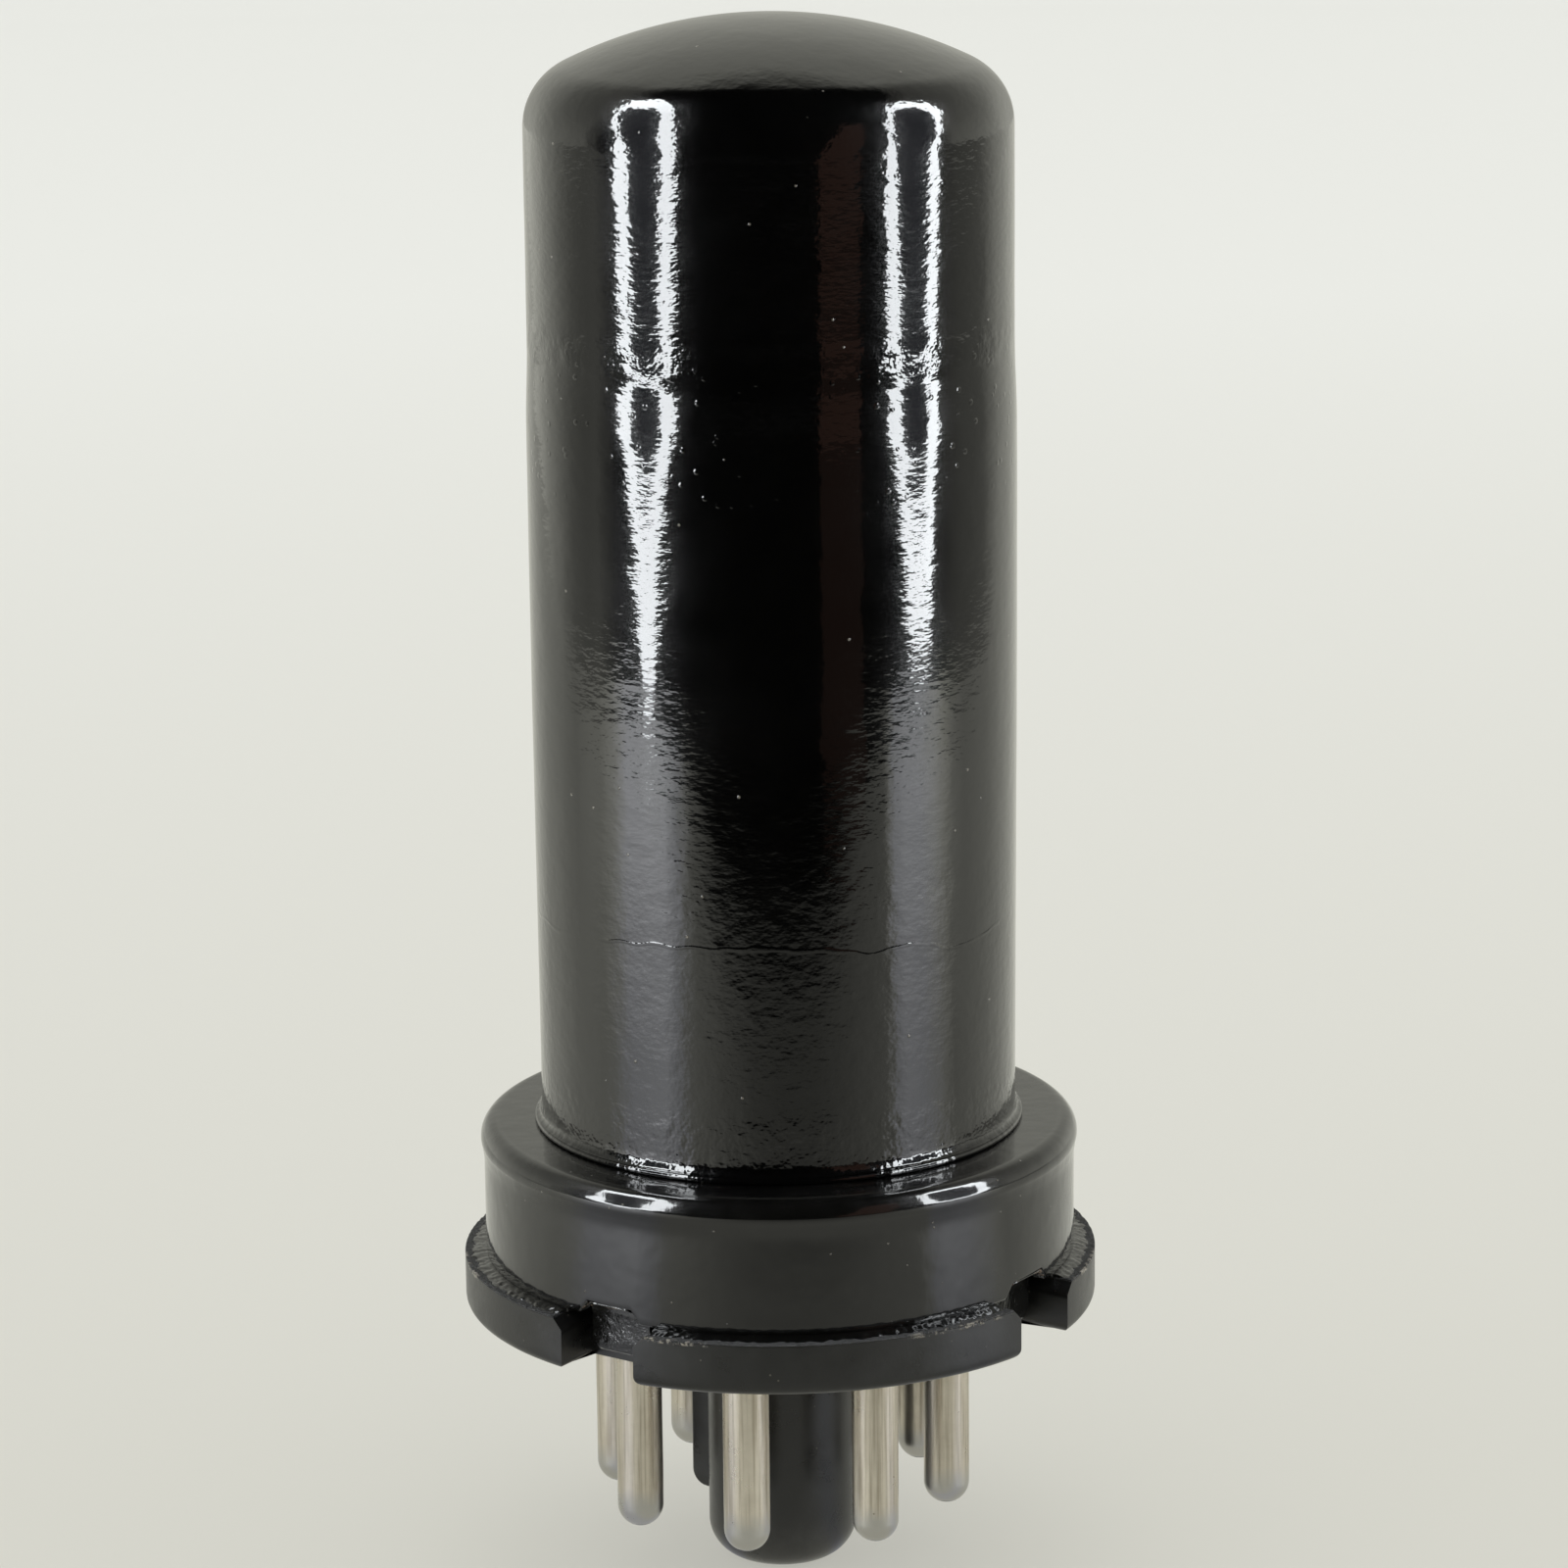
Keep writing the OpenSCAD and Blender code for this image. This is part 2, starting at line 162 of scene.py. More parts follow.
def belt(tree, height, low, high, edge):
    """1 between two heights in millimetres, falling to 0 over edge millimetres beyond each."""
    rise = node(tree, "ShaderNodeMapRange", {
        "Value": height, "From Min": (low - edge) * MM, "From Max": low * MM,
    }, interpolation_type="SMOOTHSTEP")
    fall = node(tree, "ShaderNodeMapRange", {
        "Value": height, "From Min": high * MM, "From Max": (high + edge) * MM, "To Min": 1.0, "To Max": 0.0,
    }, interpolation_type="SMOOTHSTEP")
    return node(tree, "ShaderNodeMath", {0: rise, 1: fall}, operation="MULTIPLY")


def within(tree, pattern, height, low, high, edge):
    """A pattern kept between two heights in millimetres, fading out over edge beyond each."""
    return node(tree, "ShaderNodeMath", {0: pattern, 1: belt(tree, height, low, high, edge)},
                operation="MULTIPLY")


def streaks(tree, place, around, along, detail):
    """Noise drawn out into lumps, so many millimetres round the tube and along its axis."""
    stretched = node(tree, "ShaderNodeMapping", {
        "Vector": place, "Scale": (per_mm(around), per_mm(around), per_mm(along))})
    return node(tree, "ShaderNodeTexNoise", {"Vector": stretched, "Scale": 1.0, "Detail": detail})


def vary_gloss(tree, shader, pattern, smoothest, roughest):
    """Lets the roughness follow a noise between two values."""
    gloss = node(tree, "ShaderNodeMapRange", {
        "Value": pattern, "From Min": 0.3, "From Max": 0.7, "To Min": smoothest, "To Max": roughest})
    tree.links.new(gloss.outputs[0], shader.inputs["Roughness"])


def dust(tree, place, apart, radius):
    """1 inside settled specks of dust, about one in each cube of apart millimetres."""
    near = node(tree, "ShaderNodeTexVoronoi", {"Vector": place, "Scale": per_mm(apart)})
    return node(tree, "ShaderNodeMapRange", {
        "Value": near.outputs["Distance"], "From Min": 0.6 * radius / apart,
        "From Max": radius / apart, "To Min": 1.0, "To Max": 0.0,
    })


def close_to(tree, place, point, reach):
    """1 at a point in millimetres, falling to 0 at reach millimetres from it."""
    apart = node(tree, "ShaderNodeVectorMath", {0: place, 1: Vector(point) * MM}, operation="DISTANCE")
    return node(tree, "ShaderNodeMapRange", {
        "Value": apart.outputs["Value"], "From Min": 0.6 * reach * MM, "From Max": reach * MM,
        "To Min": 1.0, "To Max": 0.0})


def can_enamel():
    """Black stoving enamel, dipped over drawn steel. A hard clear gloss lies over a duller black:
    lights show sharp and a faint haze stands round them. The draw lines and the orange peel under
    the gloss make their edges ragged, and an uneven belt runs round below the upper third."""
    made, tree, shader, place = material(
        "black_stoving_enamel", IOR=1.5, Specular_IOR_Level=0.1,
        Coat_Weight=1.0, Coat_Roughness=0.035, Coat_IOR=1.5)
    height, _ = height_and_radius(tree, place)
    smudge = node(tree, "ShaderNodeTexNoise", {
        "Vector": place, "Scale": per_mm(6.0), "Detail": 4.0, "Roughness": 0.6})
    specks = dust(tree, place, 1.9, 0.09)
    colour_surface(tree, shader, smudge, "#020202", "#060606", [(specks, "#77736c")])
    vary_gloss(tree, shader, smudge, 0.12, 0.22)

    # Draw lines: streaks 0.55 mm long round the can and 0.26 mm high, drawn as coarse as they show
    drawn = streaks(tree, place, 0.55, 0.26, 2.0)
    drawn_top = within(tree, drawn, height, DRAWN_LOW, DRAWN_TOP, 6.0)
    peel = node(tree, "ShaderNodeTexNoise", {"Vector": place, "Scale": per_mm(1.6), "Detail": 1.0})
    # The uneven belt, with small craters under it
    wrinkle = node(tree, "ShaderNodeTexNoise", {
        "Vector": place, "Scale": per_mm(1.3), "Detail": 3.0, "Roughness": 0.6})
    gripped = within(tree, wrinkle, height, GRIP_LOW, GRIP_TOP + 0.1, 0.9)
    crater = within(tree, dust(tree, place, 0.8, 0.16), height, CRATERS_LOW, CRATERS_TOP, 2.0)
    # Runs of thicker enamel halfway up, and a coat that is thick and lumpy below them
    runs = within(tree, streaks(tree, place, 2.2, 0.5, 2.0), height, RUNS_LOW, RUNS_TOP, 2.5)
    coarse = node(tree, "ShaderNodeTexNoise", {
        "Vector": place, "Scale": per_mm(0.7), "Detail": 2.0, "Roughness": 0.6})
    coarse_low = within(tree, coarse, height, THICK_LOW, THICK_TOP, 7.0)
    coarse_foot = within(tree, coarse, height, THICK_LOW, THICK_FOOT, 1.5)
    # A fold in the enamel, a broken wavy line round the lower third
    sway = node(tree, "ShaderNodeTexNoise", {"Vector": place, "Scale": per_mm(5.0), "Detail": 2.0})
    wandering = node(tree, "ShaderNodeMath", {0: sway, 1: 2.4 * MM, 2: height},
                     operation="MULTIPLY_ADD")
    broken = node(tree, "ShaderNodeMapRange", {"Value": smudge, "From Min": 0.44, "From Max": 0.5})
    fold = within(tree, broken, wandering, FOLD_Z, FOLD_Z + 0.04, 0.11)
    raise_surface(tree, shader, [
        (peel, 0.02), (drawn, 0.0078), (drawn_top, 0.006), (gripped, 0.05), (crater, 0.01),
        (runs, 0.006), (coarse_low, 0.016), (coarse_foot, 0.03), (fold, 0.008), (specks, 0.02),
    ], "Coat Normal")
    return made


def header_enamel():
    """The same enamel on the pressed header: thinner and a little softer over the forming marks,
    and rubbed through to the copper flash and bare steel at the sharp bends of the tongues, where
    the pale patches are also a painted highlight along each bend."""
    made, tree, shader, place = material(
        "black_enamel_on_pressed_steel", IOR=1.5, Specular_IOR_Level=0.1,
        Coat_Weight=1.0, Coat_Roughness=0.065, Coat_IOR=1.5)
    height, away = height_and_radius(tree, place)
    smudge = node(tree, "ShaderNodeTexNoise", {
        "Vector": place, "Scale": per_mm(3.5), "Detail": 4.0, "Roughness": 0.6})
    specks = dust(tree, place, 1.1, 0.06)
    # The crest where the roll begins: the lighter line painted along it is a painted highlight where the
    # crest catches the light
    crest_in = node(tree, "ShaderNodeMapRange", {
        "Value": away, "From Min": (ROLL_X - 0.16) * MM, "From Max": ROLL_X * MM})
    crest_out = node(tree, "ShaderNodeMapRange", {
        "Value": away, "From Min": (ROLL_X + 0.06) * MM, "From Max": (ROLL_X + 0.2) * MM,
        "To Min": 1.0, "To Max": 0.0})
    crest_highlight = node(tree, "ShaderNodeMath", {0: crest_in, 1: crest_out}, operation="MULTIPLY")
    crest_highlight = within(tree, crest_highlight, height, HEADER_TOP - 0.2, HEADER_TOP + 0.8, 0.2)
    # The bends of the four tongues, where the enamel has cracked away in patches; the pale patches there are
    # also a painted highlight along each bend
    inside = node(tree, "ShaderNodeMapRange", {
        "Value": away, "From Min": (SKIRT_R - 0.12) * MM, "From Max": (SKIRT_R - 0.04) * MM,
        "To Min": 1.0, "To Max": 0.0})
    rubbed = within(tree, inside, height, BEND_Z - 0.42, BEND_Z, 0.05)
    patches = node(tree, "ShaderNodeTexNoise", {
        "Vector": place, "Scale": per_mm(0.9), "Detail": 4.0, "Roughness": 0.7})
    bare = node(tree, "ShaderNodeMapRange", {"Value": patches, "From Min": 0.5, "From Max": 0.56})
    bare_metal_and_highlight = node(tree, "ShaderNodeMath", {0: rubbed, 1: bare}, operation="MULTIPLY")
    metal_and_highlight_tones = node(tree, "ShaderNodeMix", {0: smudge, 6: linear("#8a5a40"), 7: linear("#b9b3a8")},
                  data_type="RGBA")
    colour_surface(tree, shader, smudge, "#020202", "#151514", [
        (specks, "#6f6b64"), (crest_highlight, "#262624"), (bare_metal_and_highlight, metal_and_highlight_tones.outputs[2])])
    # The tongues below their bends, scraped rough by the crimping tool
    scraped = within(tree, inside, height, 0.0, BEND_Z - 0.2, 0.2)
    scraped = node(tree, "ShaderNodeMath", {0: scraped, 1: patches}, operation="MULTIPLY")
    vary_gloss(tree, shader, smudge, 0.16, 0.3)
    marks = streaks(tree, place, 0.5, 1.6, 3.0)
    peel = node(tree, "ShaderNodeTexNoise", {"Vector": place, "Scale": per_mm(1.2), "Detail": 1.0})
    raise_surface(tree, shader, [
        (peel, 0.02), (marks, 0.006), (specks, 0.02), (scraped, 0.12), (bare_metal_and_highlight, 0.03)],
        "Coat Normal")
    return made


def moulded_phenolic():
    """Black wood-flour phenolic, compression moulded: satin and faintly mottled by its filler,
    with a rough flash line and a few pale flecks on the flange's upper edge, partly nicks and
    partly painted glints where the edge catches the light."""
    made, tree, shader, place = material("moulded_black_phenolic", IOR=1.5)
    height, away = height_and_radius(tree, place)
    mottle = node(tree, "ShaderNodeTexNoise", {
        "Vector": place, "Scale": per_mm(1.5), "Detail": 4.0, "Roughness": 0.6})
    grit = node(tree, "ShaderNodeTexNoise", {
        "Vector": place, "Scale": per_mm(0.2), "Detail": 3.0, "Roughness": 0.7})
    rim = node(tree, "ShaderNodeMapRange", {
        "Value": away, "From Min": (WAFER_R - 0.2) * MM, "From Max": (WAFER_R - 0.04) * MM})
    edge = within(tree, rim, height, WAFER_T - 0.16, WAFER_T + 1, 0.1)
    ragged = node(tree, "ShaderNodeTexNoise", {
        "Vector": place, "Scale": per_mm(0.55), "Detail": 5.0, "Roughness": 0.8})
    # The flash is pale in four places, at these azimuths from the camera's side: nicks, and painted glints
    # where its edge catches the light
    where = 0.0
    for turn, reach in ((-20, 2.2), (33, 3.0), (-78, 2.5), (75, 2.5)):
        a = math.radians(turn) + PHOTO_TURN
        spot = (WAFER_R * math.sin(a), -WAFER_R * math.cos(a), WAFER_T)
        where = node(tree, "ShaderNodeMath", {0: close_to(tree, place, spot, reach), 1: where},
                     operation="ADD")
    flecks = node(tree, "ShaderNodeMapRange", {"Value": ragged, "From Min": 0.5, "From Max": 0.55})
    pale_nicks_and_glints = node(tree, "ShaderNodeMath", {0: flecks, 1: edge}, operation="MULTIPLY")
    pale_nicks_and_glints = node(tree, "ShaderNodeMath", {0: pale_nicks_and_glints, 1: where}, operation="MULTIPLY", use_clamp=True)
    top = belt(tree, height, WAFER_T - 0.05, WAFER_T + 1, 0.05)
    specks = dust(tree, place, 1.1, 0.06)
    # Paler in patches towards the lower end of the guide post
    paler_post_end = within(tree, mottle, height, -20.0, 0.7 - POST_L, 3.0)
    colour_surface(tree, shader, mottle, "#040404", "#1a1a19", [
        (paler_post_end, "#494846"), (specks, "#55514a"), (pale_nicks_and_glints, "#a39d92")])
    gloss = node(tree, "ShaderNodeMapRange", {
        "Value": mottle, "From Min": 0.25, "From Max": 0.75, "To Min": 0.24, "To Max": 0.38})
    rough = node(tree, "ShaderNodeMix", {0: top, 2: gloss, 3: 0.6})
    tree.links.new(rough.outputs[0], shader.inputs["Roughness"])
    pitted = node(tree, "ShaderNodeMath", {0: ragged, 1: top}, operation="MULTIPLY")
    raise_surface(tree, shader, [(mottle, 0.02), (grit, 0.006), (pitted, 0.3), (pale_nicks_and_glints, 0.04)])
    return made


def pin_plating():
    """Drawn brass pins, nickel plated and long stored: a warm grey satin with draw lines along
    each pin, faint tarnish, and the duller tin that the soldering left on the tip."""
    made, tree, shader, place = material("nickel_plated_brass", Metallic=1.0)
    height, _ = height_and_radius(tree, place)
    # Draw lines 6 mm long and 0.16 mm apart, drawn as coarse as they show
    lines = streaks(tree, place, 0.16, 6.0, 3.0)
    tarnish = node(tree, "ShaderNodeTexNoise", {
        "Vector": place, "Scale": per_mm(1.4), "Detail": 4.0, "Roughness": 0.6})
    spots = dust(tree, place, 2.6, 0.07)
    wander = node(tree, "ShaderNodeMath", {0: tarnish, 1: 1.6 * MM, 2: height},
                  operation="MULTIPLY_ADD")
    tinned = node(tree, "ShaderNodeMapRange", {
        "Value": wander, "From Min": -8.9 * MM, "From Max": -7.9 * MM, "To Min": 1.0, "To Max": 0.0})
    scored = node(tree, "ShaderNodeMapRange", {
        "Value": lines, "From Min": 0.45, "From Max": 0.7, "To Min": 0.0, "To Max": 0.6})
    colour_surface(tree, shader, tarnish, "#dad3c6", "#b3ab9b", [
        (scored, "#857b69"), (spots, "#6f6450"), (tinned, "#adaba6")])
    vary_gloss(tree, shader, tarnish, 0.26, 0.38)
    raise_surface(tree, shader, [(lines, 0.007), (tarnish, 0.004)])
    return made


def clean_metal(name, bright, dull, grain, smoothest, roughest):
    """A hidden or hardly seen metal piece: clean, with a fine grain that varies tone and gloss."""
    made, tree, shader, place = material(name, Metallic=1.0)
    grey = node(tree, "ShaderNodeTexNoise", {
        "Vector": place, "Scale": per_mm(grain), "Detail": 4.0, "Roughness": 0.6})
    colour_surface(tree, shader, grey, bright, dull)
    vary_gloss(tree, shader, grey, smoothest, roughest)
    raise_surface(tree, shader, [(grey, 0.008)])
    return made


def bead_glass():
    """A fused bead of sealing glass: clear blue-grey, with seed bubbles."""
    made, tree, shader, place = material(
        "fused_sealing_glass", IOR=1.5, Transmission_Weight=0.7, Roughness=0.08)
    seeds = dust(tree, place, 0.4, 0.05)
    swirl = node(tree, "ShaderNodeTexNoise", {"Vector": place, "Scale": per_mm(0.6)})
    colour_surface(tree, shader, seeds, "#5b7ea0", "#a9bccb")
    raise_surface(tree, shader, [(swirl, 0.01)])
    return made


CAN_ENAMEL = can_enamel()
HEADER_ENAMEL = header_enamel()
PHENOLIC = moulded_phenolic()
PLATING = pin_plating()
# Tin-lead solder, frozen in the pins' tips: dull silver with a soft sheen
SOLDER = clean_metal("tin_lead_solder", "#a9a9aa", "#7b7b7c", 0.5, 0.28, 0.45)
# Nickel-iron wire, drawn and copper plated: warm red-brown, half bright
LEAD_WIRE = clean_metal("copper_plated_lead_wire", "#c08a5e", "#8c6242", 0.4, 0.25, 0.4)
# Sealing alloy, greyed by the furnace that fused the beads: nearly matt
EYELET_ALLOY = clean_metal("oxidised_sealing_alloy", "#8d9096", "#5f6166", 0.5, 0.35, 0.5)
# Steel tube, drawn and left bare inside the base: mid grey with a satin gloss
BARE_STEEL = clean_metal("bare_drawn_steel", "#a4a6a9", "#77797c", 0.6, 0.25, 0.42)
GLASS = bead_glass()


def mesh_object(name, points, faces, finish):
    """A smooth-shaded mesh in metres from points in millimetres. Points that meet are joined."""
    mesh = bpy.data.meshes.new(name)
    mesh.from_pydata((np.asarray(points, float) * MM).tolist(), [], faces)
    shape = bmesh.new()
    shape.from_mesh(mesh)
    bmesh.ops.remove_doubles(shape, verts=shape.verts, dist=1e-8)
    bmesh.ops.recalc_face_normals(shape, faces=shape.faces)
    shape.to_mesh(mesh)
    shape.free()
    mesh.shade_smooth()
    made = bpy.data.objects.new(name, mesh)
    bpy.context.scene.collection.objects.link(made)
    mesh.materials.append(finish)
    return made


def wrap(rows, columns, start=0):
    """Quads that join rows of points, each a closed loop of columns."""
    faces = []
    for i in range(rows - 1):
        for j in range(columns):
            a, b = start + i * columns, start + (i + 1) * columns
            k = (j + 1) % columns
            faces.append((a + j, a + k, b + k, b + j))
    return faces


def full_turn(count):
    """Evenly spaced angles once round the axis."""
    return np.linspace(0, 2 * np.pi, count, endpoint=False)


def round_grid(radii, heights, angles):
    """Points of a turned surface: radii and heights are rows, or rows by columns."""
    radii, heights = (np.broadcast_to(np.asarray(v, float).reshape(len(v), -1),
                                      (len(v), len(angles))) for v in (radii, heights))
    return np.stack([radii * np.cos(angles), radii * np.sin(angles), heights], -1)


def arc(x, z, radius, start, end, steps):
    """Points of an arc in section, from start to end degrees, counted from straight outward."""
    turn = np.radians(np.linspace(start, end, steps + 1))
    return np.stack([x + radius * np.cos(turn), z + radius * np.sin(turn)], -1)


def run(first, last, steps):
    """Points of a straight run in section."""
    return np.linspace(first, last, steps + 1)


def ease(x, low, high):
    """0 below low, 1 above high and a smooth rise between."""
    t = np.clip((x - low) / (high - low), 0, 1)
    return t * t * (3 - 2 * t)


def waves(angles, heights, count, around, along):
    """Soft irregularity of about -1 to 1, as a sum of waves over angle and height."""
    total = 0
    for _ in range(count):
        turns = rng.integers(-around, around + 1)
        total = total + np.sin(turns * angles + rng.uniform(-1, 1) * heights * 2 * np.pi / along
                               + rng.uniform(0, 2 * np.pi))
    return total / math.sqrt(count)


def quarter_turns(points):
    """The points turned to the four notches, as a list of four arrays."""
    turned = []
    points = np.asarray(points)
    for k in range(4):
        c, s = math.cos(k * math.pi / 2), math.sin(k * math.pi / 2)
        turned.append(points @ np.array([[c, s, 0], [-s, c, 0], [0, 0, 1]]))
    return turned


def pin_angle(k):
    """Where pin k stands: pin 1 is next to the key at +Y, the others follow every 45 degrees."""
    return math.radians(90 + (k - 0.5) * 45)


def finish_piece(piece, slot, *nodes, crease=50):
    """Keeps edges sharper than crease degrees, and puts the piece in the place of its nodes."""
    piece.data.set_sharp_from_angle(angle=math.radians(crease))
    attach(piece, "root")
    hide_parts(*nodes)


def make_can():
    """The drawn can: flared weld edge, faintly barrelled wall, rounded shoulder and shallow dome."""
    wall_z = np.linspace(FLARE[-1][1] + 0.3, SHOULDER_Z, WALL_ROWS)
    wall_r = CAN_R + SWELL * np.minimum(
        np.clip((wall_z - SWELL_LOW) / (SWELL_FULL_LOW - SWELL_LOW), 0, 1),
        1 - ease(wall_z, SWELL_FULL_TOP, SWELL_TOP))
    edge_x = FOOT_R - FOOT_EDGE
    tangent = math.degrees(math.asin((CAN_R - SHOULDER_R) / (DOME_R - SHOULDER_R)))
    section = np.concatenate([
        run((0, HEADER_TOP), (edge_x, HEADER_TOP), 3)[:-1],
        arc(edge_x, HEADER_TOP + FOOT_EDGE, FOOT_EDGE, -90, 80, 8),
        FLARE,
        np.stack([wall_r, wall_z], -1)[:-1],
        arc(CAN_R - SHOULDER_R, SHOULDER_Z, SHOULDER_R, 0, 90 - tangent, 24)[:-1],
        arc(0, CAN_TOP - DOME_R, DOME_R, 90 - tangent, 90, 44),
    ])
    angles = full_turn(CAN_COLUMNS)
    radii, heights = section[:, :1], section[:, 1:]
    # Faint unevenness left by the drawing, fading out at the foot and the shoulder
    on_wall = ease(heights, SWELL_LOW, SWELL_LOW + 2.5) * (1 - ease(heights, 59, 61))
    drawn = 0.004 * waves(angles, heights, 8, 6, 6.0) * on_wall
    # The belt where the wall was last gripped: short dents and ridges, 0.02 mm deep
    gripped = ease(heights, GRIP_LOW - 0.8, GRIP_LOW) * (1 - ease(heights, GRIP_TOP, GRIP_TOP + 0.9))
    dents = 0.007 * waves(angles, heights, 14, 40, 1.2) * gripped
    points = round_grid(radii + drawn + dents, section[:, 1], angles)
    points[-1] = (0, 0, CAN_TOP)
    can = mesh_object("can", points.reshape(-1, 3), wrap(len(section), CAN_COLUMNS), CAN_ENAMEL)
    finish_piece(can, "can_enamel", "envelope")


def skirt_columns():
    """Angles round the skirt, dense at the corners of the four windows, and the height of its
    edge at each."""
    across = np.concatenate([
        np.linspace(0, WINDOW_SLIM - 0.1, 6), [WINDOW_SLIM - 0.03, WINDOW_SLIM + 0.04],
        np.linspace(WINDOW_SLIM + 0.15, WINDOW_WIDE - 0.1, 4), [WINDOW_WIDE - 0.03, WINDOW_WIDE + 0.04],
        np.linspace(WINDOW_WIDE + 0.2, WINDOW_WIDE + 0.9, 3),
    ])
    near = np.arcsin(np.concatenate([-across[:0:-1], across]) / SKIRT_R)
    quarter = np.concatenate([near, np.linspace(near[-1], np.pi / 2 + near[0], 48)[1:-1]])
    angles = np.concatenate([quarter + k * np.pi / 2 for k in range(4)])
    apart = (angles + np.pi / 4) % (np.pi / 2) - np.pi / 4
    edge = np.interp(np.abs(np.sin(apart)) * SKIRT_R, [WINDOW_SLIM, WINDOW_WIDE], [BEND_Z, SKIRT_Z])
    return angles, edge


def make_header():
    """The header cup: disc, rolled shoulder a little proud of the skirt, skirt with its windows,
    bent tongues, and the enamel that ran into the seam below."""
    angles, edge = skirt_columns()
    round_r, blend_z, even_z = 0.14, 7.6, 4.6
    rows = []
    upper = np.concatenate([
        run((0, HEADER_TOP), (ROLL_X, HEADER_TOP), 8)[:-1],
        arc(ROLL_X, HEADER_TOP - ROLL_R, ROLL_R, 90, -22, 24),
        [(SKIRT_R + 0.065, 8.2), (SKIRT_R + 0.03, 8.02), (SKIRT_R + 0.008, 7.8)],
        run((SKIRT_R, blend_z), (SKIRT_R, even_z), 8),
    ])
    for r, z in upper:
        rows.append((r, np.full_like(edge, z)))
    for share in np.linspace(0.2, 1, 5):
        rows.append((SKIRT_R, even_z + share * (edge + round_r - even_z)))
    for r, z in arc(SKIRT_R - round_r, round_r, round_r, -15, -90, 5):
        rows.append((r, edge + z))
    for r, z in arc(SKIRT_IN_R + round_r, round_r, round_r, -90, -180, 5):
        rows.append((r, edge + z))
    inner = np.concatenate([
        run((SKIRT_IN_R, even_z + 0.2), (SKIRT_IN_R, DISC_Z - ROLL_IN_R), 3)[:-1],
        arc(SKIRT_IN_R - ROLL_IN_R, DISC_Z - ROLL_IN_R, ROLL_IN_R, 0, 90, 5)[:-1],
        run((SKIRT_IN_R - ROLL_IN_R, DISC_Z), (0, DISC_Z), 3),
    ])
    for r, z in inner:
        rows.append((r, np.full_like(edge, z)))
    points = round_grid([np.full_like(edge, r) for r, _ in rows], [z for _, z in rows], angles)
    header = mesh_object("header_cup", points.reshape(-1, 3), wrap(len(rows), len(angles)),
                         HEADER_ENAMEL)
    drill(header)
    add_grids(header, quarter_turns(tongue_grid()))
    add_grids(header, quarter_turns(seam_grid()))
    finish_piece(header, "header_enamel", "header")


def drill(header):
    """Cuts the holes of the seven eyelets and the exhaust tube through the disc."""
    holes = [(0, 0, EXHAUST_HOLE_R)]
    for k in range(2, 9):
        a = pin_angle(k)
        holes.append((EYELET_CIRCLE_R * math.cos(a), EYELET_CIRCLE_R * math.sin(a), EYELET_HOLE_R))
    middle_z, through = (DISC_Z + HEADER_TOP) / 2, 4
    cutter = bmesh.new()
    for x, y, r in holes:
        bmesh.ops.create_cone(
            cutter, cap_ends=True, segments=48, radius1=r * MM, radius2=r * MM, depth=through * MM,
            matrix=Matrix.Translation(Vector((x, y, middle_z)) * MM))
    mesh = bpy.data.meshes.new("drills")
    cutter.to_mesh(mesh)
    cutter.free()
    drills = bpy.data.objects.new("drills", mesh)
    bpy.context.scene.collection.objects.link(drills)
    cut = header.modifiers.new("drill", "BOOLEAN")
    cut.object, cut.operation, cut.solver = drills, "DIFFERENCE", "EXACT"
    whole = bpy.data.meshes.new_from_object(header.evaluated_get(bpy.context.evaluated_depsgraph_get()))
    header.modifiers.clear()
    header.data = whole
    bpy.data.objects.remove(drills)


def tongue_grid():
    """One tongue at +X: its bent sheet in section, as wide at each height as its outline."""
    rise, lap = math.tan(BEND_SLOPE), SHEET / math.cos(BEND_SLOPE)
    inner_r = TONGUE_R - SHEET
    out_bend = BEND_Z - (SKIRT_R - TONGUE_R) * rise
    in_bend = BEND_Z - (SKIRT_R - inner_r) * rise + lap
    tip, clipped, cut_round = 0.12, 0.35, 0.06
    section = np.concatenate([
        [(SKIRT_R - 0.3, BEND_Z + 0.25), (SKIRT_R - 0.1, BEND_Z + 0.06), (SKIRT_R - 0.08, BEND_Z - 0.03)],
        run((SKIRT_R - 0.25, BEND_Z - 0.25 * rise), (TONGUE_R + 0.3, out_bend + 0.3 * rise), 3),
        [(TONGUE_R + 0.13, out_bend + 0.05), (TONGUE_R + 0.04, out_bend - 0.1)],
        run((TONGUE_R, out_bend - 0.3), (TONGUE_R, TONGUE_END + tip), 5),
        arc(TONGUE_R - tip, TONGUE_END + tip, tip, -20, -90, 4),
        arc(inner_r + tip, TONGUE_END + tip, tip, -90, -180, 4),
        run((inner_r, TONGUE_END + 0.3), (inner_r, in_bend - 0.1), 3),
        run((inner_r + 0.1, in_bend + 0.05), (SKIRT_IN_R + 0.1, BEND_Z + 0.4), 3),
    ])
    half = np.interp(section[:, 1], [SKIRT_Z, BEND_Z], [TONGUE_WIDE, TONGUE_SLIM])
    # The corners of the tongue's end are clipped round
    half = half - clipped * (1 - ease(section[:, 1], TONGUE_END, TONGUE_END + 0.5))
    edge = np.array([-1, -0.985, -0.93, -0.7, -0.35, 0, 0.35, 0.7, 0.93, 0.985, 1])
    # The cut sides are slightly rounded: the sheet draws in towards them
    middle = section.mean(axis=0)
    grid = []
    for e in edge:
        inset = cut_round * max(0.0, abs(e) - 0.93) / 0.07
        ring = section + inset * (middle - section) / np.linalg.norm(middle - section, axis=1)[:, None]
        grid.append(np.column_stack([ring[:, 0], half * e, ring[:, 1]]))
    return np.array(grid)


